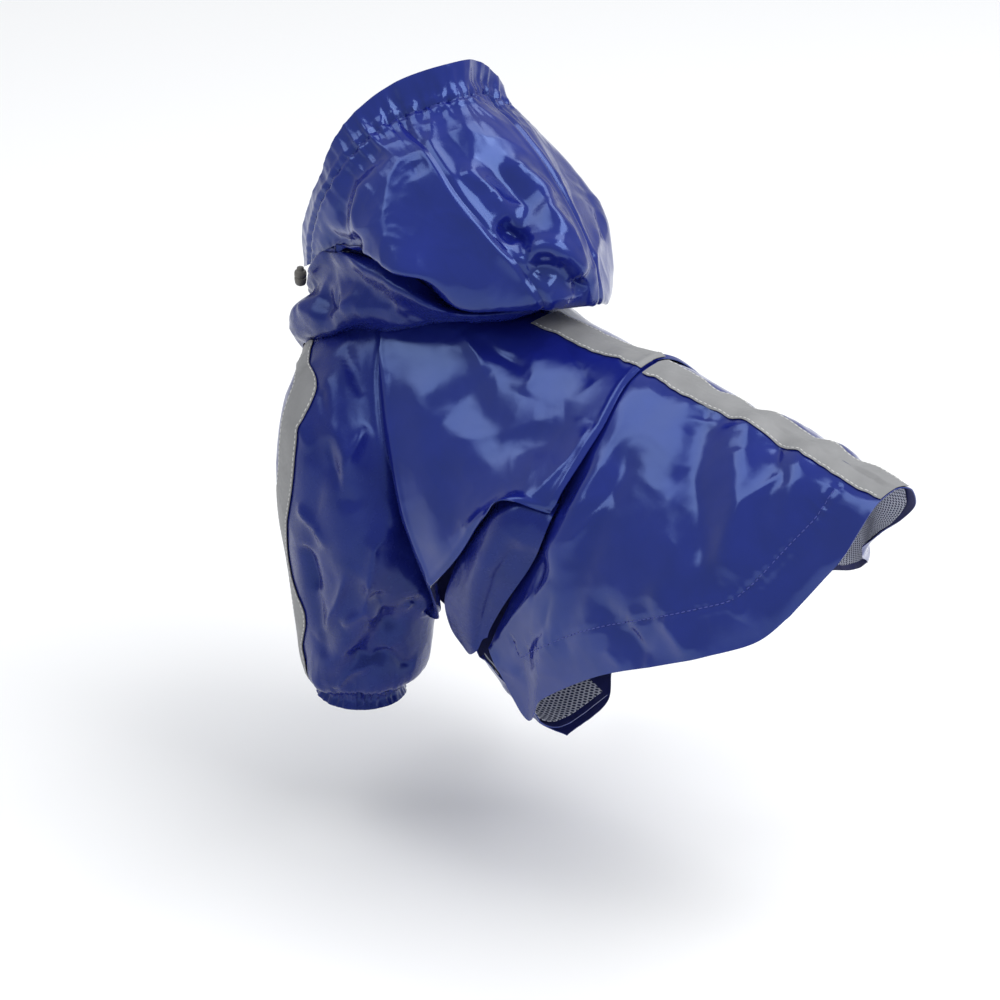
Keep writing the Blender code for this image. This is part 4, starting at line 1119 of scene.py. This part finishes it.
def tape_grid(cloth, rows):
    """Rows across the spine's tape, whose edges waver a little."""
    edges = []
    for side in (-1, 1):
        places = np.stack([rows * TAPE_WAVER_STEP, rows * 0 + side, rows * 0 + 0.5], -1)
        waver = noise_at(places, 1.0, TAPE_SEED) * TAPE_WAVER
        edges.append([column_at(cloth, row, 0, side, TAPE_WIDTH / 2 + off)
                      for row, off in zip(rows, waver)])
    return between(*edges, rows, TAPE_CELLS)


def add_spine_tape(node, cloth, finish, start, last, count):
    rows = np.linspace(start, last, count)
    sew_tape(node, cloth, tape_grid(cloth, rows), finish, ("right", "left"))


def add_yoke():
    yoke = Cloth(mirrored(rows_of(YOKE_ROWS)), start=len(YOKE_COLUMNS) - 1)
    edge, last = len(YOKE_COLUMNS) - 1, len(YOKE_ROWS) - 1
    folded = [yoke.line(np.linspace(-edge, edge, LOOP_POINTS), last)]
    folded += [yoke.line(side * edge, np.linspace(0, last, EDGE_POINTS)) for side in (1, -1)]
    corners = yoke.plain(np.array([edge, -edge]), np.array([last, last]))

    def extra(points, u, v):
        away = np.min([np.linalg.norm(points - corner, axis=-1) for corner in corners], axis=0)
        return spine_waves(points) - CORNER_TUCK * np.exp(-(away / CORNER_REACH) ** 2)

    finish = Finish(BODY_WRINKLES, seed=BODY_SEED, seams=raglan_seams(yoke) + folded, extra=extra)
    grid = even_grid(yoke, (-edge, edge), (0, last), LARGE_CELL)
    sew_navy("back_yoke", yoke, grid, finish)
    add_spine_tape("tape_spine_front", yoke, finish, FRONT_TAPE[0], last, FRONT_TAPE[1])


def add_skirt():
    """The skirt, its puckered hem, its mesh lining and the rear length of tape."""
    skirt = skirt_cloth()
    edge, last = len(SKIRT_COLUMNS) - 1, len(SKIRT_ROWS) - 1
    places = hem_seam(skirt, hem_line(skirt))
    seams = [skirt.line(places[:, 0] * side, places[:, 1]) for side in (1, -1)]

    def extra(points, u, v):
        height = spine_waves(points)
        for seam in seams:
            some = near(points, seam, HEM_REACH)
            height[some] += gathers(points[some], seam, *HEM_GATHERS)
        return height

    finish = Finish(BODY_WRINKLES, seed=BODY_SEED, seams=seams, extra=extra, deep=HEM_DIP)
    grid = even_grid(skirt, (-edge, edge), (0, last), BROAD_CELL)
    sew_navy("back_skirt", skirt, grid, finish)
    add_spine_tape("tape_spine_rear", skirt, finish, REAR_TAPE[0], last, REAR_TAPE[1])
    for side, word in ((1, "left"), (-1, "right")):
        points, outside = formed(skirt, places[:, 0] * side, places[:, 1], finish)
        stitches("hem_stitches_" + word, points + outside * HEM_THREAD_LIFT, outside,
                 LOOKS["navy_thread"], HEM_THREAD)
    rows = np.linspace(LINING_START, last - REAR_TURNING, LINING_ROWS)
    low, high = ([column_at(skirt, row, side * edge, side * (edge - 1), HEM_TURNING)
                  for row in rows] for side in (-1, 1))
    sew_lining("skirt_lining", skirt, between(low, high, rows, LINING_CELLS), finish)


def add_sides():
    left = rows_of(SIDE_ROWS)
    finish = Finish(BODY_WRINKLES, seed=BODY_SEED)
    for word, net, outward in (("left", left, -1), ("right", flipped(left), 1)):
        cloth = Cloth(net, outward)
        grid = even_grid(cloth, (0, len(SIDE_COLUMNS) - 1 + UNDER_CREASE), (0, len(SIDE_ROWS) - 1))
        # the side pieces take the nylon darkened as painted shade
        sew_navy("side_" + word, cloth, grid, finish, "dull_shaded_navy")


def add_chest():
    edge = len(CHEST_COLUMNS) - 1
    chest = Cloth(mirrored(rows_of(CHEST_ROWS)), outward=-1, start=edge)
    down = np.linspace(0, CHEST_SEAM_ROW, SEAM_POINTS)
    seams = [chest.line(side * edge, down) for side in (1, -1)]
    u, v = even_grid(chest, (-edge, edge), (0, len(CHEST_ROWS) - 1), HIDDEN_CELL)
    u *= 1 + INTO_ARMHOLE * np.clip(CHEST_SEAM_ROW - v, 0, 1)
    finish = Finish(BODY_WRINKLES, seed=CHEST_SEED, seams=seams)
    sew_navy("chest_panel", chest, (u, v), finish)


def add_flaps():
    """Belly flaps: the left one is seen from inside, with its lining."""
    finish = Finish(SMALL_WRINKLES, seed=FLAP_SEED)
    left, right = Cloth(rows_of(LEFT_FLAP_ROWS), outward=-1), Cloth(rows_of(RIGHT_FLAP_ROWS))
    hem = len(FLAP_COLUMNS) - 1
    for word, cloth in (("left", left), ("right", right)):
        grid = even_grid(cloth, (0, hem), (0, len(cloth.net) - 1))
        sew_navy("belly_flap_" + word, cloth, grid, finish)
    grid = even_grid(left, (0, hem - FLAP_TURNING), (0, len(left.net) - 1 - FLAP_END))
    sew_lining("belly_lining", left, grid, finish)


def add_sleeves():
    """Sleeves gathered into their cuffs, with the wavering tape down their fronts."""
    armhole, turns = armhole_net()
    sleeve_net = np.concatenate([[armhole], ring_points(SLEEVE_RINGS, turns)])
    cuff_net = ring_points(CUFF_RINGS, turns)
    columns, last = len(turns), len(SLEEVE_RINGS)
    for word, side, cell in (("left", 1, BROAD_CELL), ("right", -1, HIDDEN_CELL)):
        sleeve = Cloth(sleeve_net * (side, 1, 1), -side, loop=True)
        cuff = Cloth(cuff_net * (side, 1, 1), -side, loop=True)
        cuff_seam = sleeve.line(np.linspace(0, columns, PANEL_POINTS), last)

        def drawn_in(points, u, v, cuff_seam=cuff_seam):
            return gathers(points, cuff_seam, *CUFF_GATHERS)

        raglan = sleeve.line(np.linspace(0, columns, LOOP_POINTS), 0)
        finish = Finish(SLEEVE_WRINKLES, SLEEVE_STRETCH, SLEEVE_SEED + side, [raglan], drawn_in)
        grid = even_grid(sleeve, (0, columns), (0, last), cell)
        # sleeves and cuffs take the nylon darkened as painted shade
        sew_navy("sleeve_" + word, sleeve, grid, finish, "dull_shaded_navy", ring=True)
        elastic = Finish(SMALL_WRINKLES, CUFF_STRETCH, CUFF_SEED, (), drawn_in)
        grid = even_grid(cuff, (0, columns), (INTO_SLEEVE, len(CUFF_RINGS) - 1), CUFF_CELL)
        sew_navy("cuff_" + word, cuff, grid, elastic, "dull_shaded_navy", ring=True)
        add_sleeve_tape("tape_sleeve_" + word, sleeve, finish, columns)


# The sleeve's tape: ring, and how many columns its middle lies short of the first one.
TAPE_SWING = ((0.05, 0.75), (0.38, 0.62), (0.64, 0.10), (0.88, 0.10), (1.12, 0.33), (1.34, 0.40),
              (1.71, 0.50), (2.15, 0.78), (2.81, 1.35), (3.10, 1.25), (3.49, 0.55), (3.77, 0.60),
              (4.30, 1.15), (4.78, 0.85), (5.60, 0.95))
SWING_START, SWING_SHORT, SWING_ROWS = 0.08, 0.4, 190
SWING_SMOOTH = 4      # the swing is smoothed over this many rows each way


def add_sleeve_tape(node, sleeve, finish, columns):
    rows = np.linspace(SWING_START, len(SLEEVE_RINGS) - SWING_SHORT, SWING_ROWS)
    middle = columns - np.interp(rows, *np.transpose(TAPE_SWING))
    spread = np.ones(2 * SWING_SMOOTH + 1) / (2 * SWING_SMOOTH + 1)
    middle = np.convolve(np.pad(middle, SWING_SMOOTH, "edge"), spread, "valid")
    low, high = ([column_at(sleeve, row, at, at + side, TAPE_WIDTH / 2)
                  for row, at in zip(rows, middle)] for side in (-1, 1))
    sew_tape(node, sleeve, between(low, high, rows, TAPE_CELLS), finish, ("rear", "front"))


def add_hood():
    """Three panels, and the casing whose cord gathers the face edge."""
    hood = hood_cloth()
    edge, last = len(HOOD_COLUMNS) - 1, 2 * (len(HOOD_ROWS) - 1)
    back = np.linspace(1, edge, PANEL_POINTS)
    casing = hood.line(1, np.linspace(0, last, CASING_POINTS))
    seams = [hood.line(back, SEAM_ROW), hood.line(back, last - SEAM_ROW), casing]

    def gathered(points, u, v):
        share = np.exp(-((v - CASING_MIDDLE * last) / CASING_SPREAD) ** 2)
        waves = sum(gathers(points, casing, *kind) for kind in CASING_GATHERS)
        return waves * (CASING_LEAST + CASING_MORE * share)

    finish = Finish(HOOD_WRINKLES, seed=HOOD_SEED, seams=seams, extra=gathered,
                    calm_edge=lambda u, v: np.clip((edge - u) / NECK_CALM, 0, 1))
    panels = (1, edge + UNDER_BAND)
    for node, across, start, end in (("hood_left", panels, 0, SEAM_ROW),
                                     ("hood_centre", panels, SEAM_ROW, last - SEAM_ROW),
                                     ("hood_right", panels, last - SEAM_ROW, last),
                                     ("hood_casing", (0, 1), 0, last)):
        sew_navy(node, hood, even_grid(hood, across, (start, end)), finish)


def add_neck_band():
    band = band_cloth()
    finish = Finish(BAND_WRINKLES, seed=BAND_SEED, calm_edge=lambda u, v: np.clip(v, 0, 1))
    grid = even_grid(band, (0, band.net.shape[1]), (0, len(BAND_COLUMNS) - 1), LARGE_CELL)
    # the band takes the nylon darkened as painted shade
    sew_navy("neck_band", band, grid, finish, "dull_shaded_navy", ring=True)


# Cord lock: radius and height up its turned shape, and the middle of its foot.
LOCK_PROFILE = ((0.0, 0.2), (1.4, 0.0), (2.5, 0.6), (3.0, 1.5), (3.3, 3.2), (3.4, 4.6), (2.9, 4.9),
                (2.9, 5.4), (3.4, 5.7), (3.4, 7.4), (3.1, 8.6), (2.4, 9.2), (2.0, 9.3),
                (1.9, 10.7), (1.4, 11.0), (0.0, 11.0))
LOCK_FOOT = (46, -73.3, -13.6)
LOCK_SIDES = 32
LOCK_TIP = 0.01       # radius in place of none, at the two ends


def add_cord_lock():
    """Cord lock at the left end of the hood's drawcord."""
    turns = np.linspace(0, 2 * math.pi, LOCK_SIDES, endpoint=False)
    rings = [np.stack([max(radius, LOCK_TIP) * np.cos(turns), max(radius, LOCK_TIP) * np.sin(turns),
                       np.full(LOCK_SIDES, height)], axis=-1) for radius, height in LOCK_PROFILE]
    faces = quads(len(rings), LOCK_SIDES, True)[0]
    piece = solid_mesh("cord_lock_body", np.concatenate(rings) + LOCK_FOOT, faces,
                       (LOOKS["plastic"],))
    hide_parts("cord_lock")


# ---------------------------------------------------------------- stage

CAMERA_AZIMUTH, CAMERA_HEIGHT = math.radians(135.14), math.radians(26.58)
CAMERA_AWAY = 3.0
CAMERA_LENS, CAMERA_SENSOR = 197.64, 36.0
CAMERA_FAR = 100.0
CAMERA_AIM = (0.0, -0.06055, -0.11975)
SKY, SKY_STRENGTH = (0.95, 0.97, 1.0), 0.62
FLOOR_COLOUR, FLOOR_REACH = (0.93, 0.93, 0.93), 15.0
# Soft boxes: direction from the coat, side in metres, power in watts.
SOFT_BOXES = {
    "soft_box_rear": ((-0.22, 0.6, 0.79), 1.5, 27),
    "soft_box_left": ((0.40, -0.37, 0.84), 1.15, 9.5),
    "soft_box_over": ((-0.5, 0.02, 0.86), 0.9, 6.5),
}
BOX_AWAY = 1.9


def aimed(thing, place, aim):
    thing.location = place
    thing.rotation_mode = "QUATERNION"
    thing.rotation_quaternion = (Vector(aim) - Vector(place)).to_track_quat("-Z", "Y")
    bpy.context.scene.collection.objects.link(thing)
    return thing


def add_camera():
    back = Vector((math.sin(CAMERA_AZIMUTH) * math.cos(CAMERA_HEIGHT),
                   -math.cos(CAMERA_AZIMUTH) * math.cos(CAMERA_HEIGHT), math.sin(CAMERA_HEIGHT)))
    lens = bpy.data.cameras.new("camera")
    lens.lens = CAMERA_LENS
    lens.sensor_width = CAMERA_SENSOR
    lens.clip_end = CAMERA_FAR
    place = Vector(CAMERA_AIM) + back * CAMERA_AWAY
    bpy.context.scene.camera = aimed(bpy.data.objects.new("camera", lens), place, CAMERA_AIM)


def add_light(name, direction, size, power):
    lamp = bpy.data.lights.new(name, "AREA")
    lamp.shape = "RECTANGLE"
    lamp.size, lamp.size_y = size, size
    lamp.energy = power
    place = Vector(direction).normalized() * BOX_AWAY + Vector(CAMERA_AIM)
    aimed(bpy.data.objects.new(name, lamp), place, CAMERA_AIM)


def add_floor():
    """A plain pale floor under the wearer's feet."""
    look = Look("pale_floor", roughness=0.9, specular=0.1)
    look.give(look.shader, {"Base Color": (*FLOOR_COLOUR, 1)})
    low = (FLOOR - WITHERS[2]) * MM
    corners = [(x * FLOOR_REACH, y * FLOOR_REACH, low)
               for x, y in ((-1, -1), (1, -1), (1, 1), (-1, 1))]
    mesh = bpy.data.meshes.new("floor")
    mesh.from_pydata(corners, [], [(0, 1, 2, 3)])
    mesh.materials.append(look.made)
    floor = bpy.data.objects.new("floor", mesh)
    bpy.context.scene.collection.objects.link(floor)


def add_stage():
    """The floor, a low even sky and three soft boxes."""
    add_floor()
    world = bpy.data.worlds.new("sky")
    world.use_nodes = True
    background = world.node_tree.nodes["Background"]
    background.inputs["Color"].default_value = (*SKY, 1)
    background.inputs["Strength"].default_value = SKY_STRENGTH
    bpy.context.scene.world = world
    bpy.context.scene.view_settings.view_transform = "Standard"
    for name, box in SOFT_BOXES.items():
        add_light(name, *box)


def main():
    add_camera()
    add_stage()
    for add in (add_yoke, add_skirt, add_sides, add_chest, add_flaps, add_sleeves, add_hood,
                add_neck_band, add_cord_lock):
        add()


main()
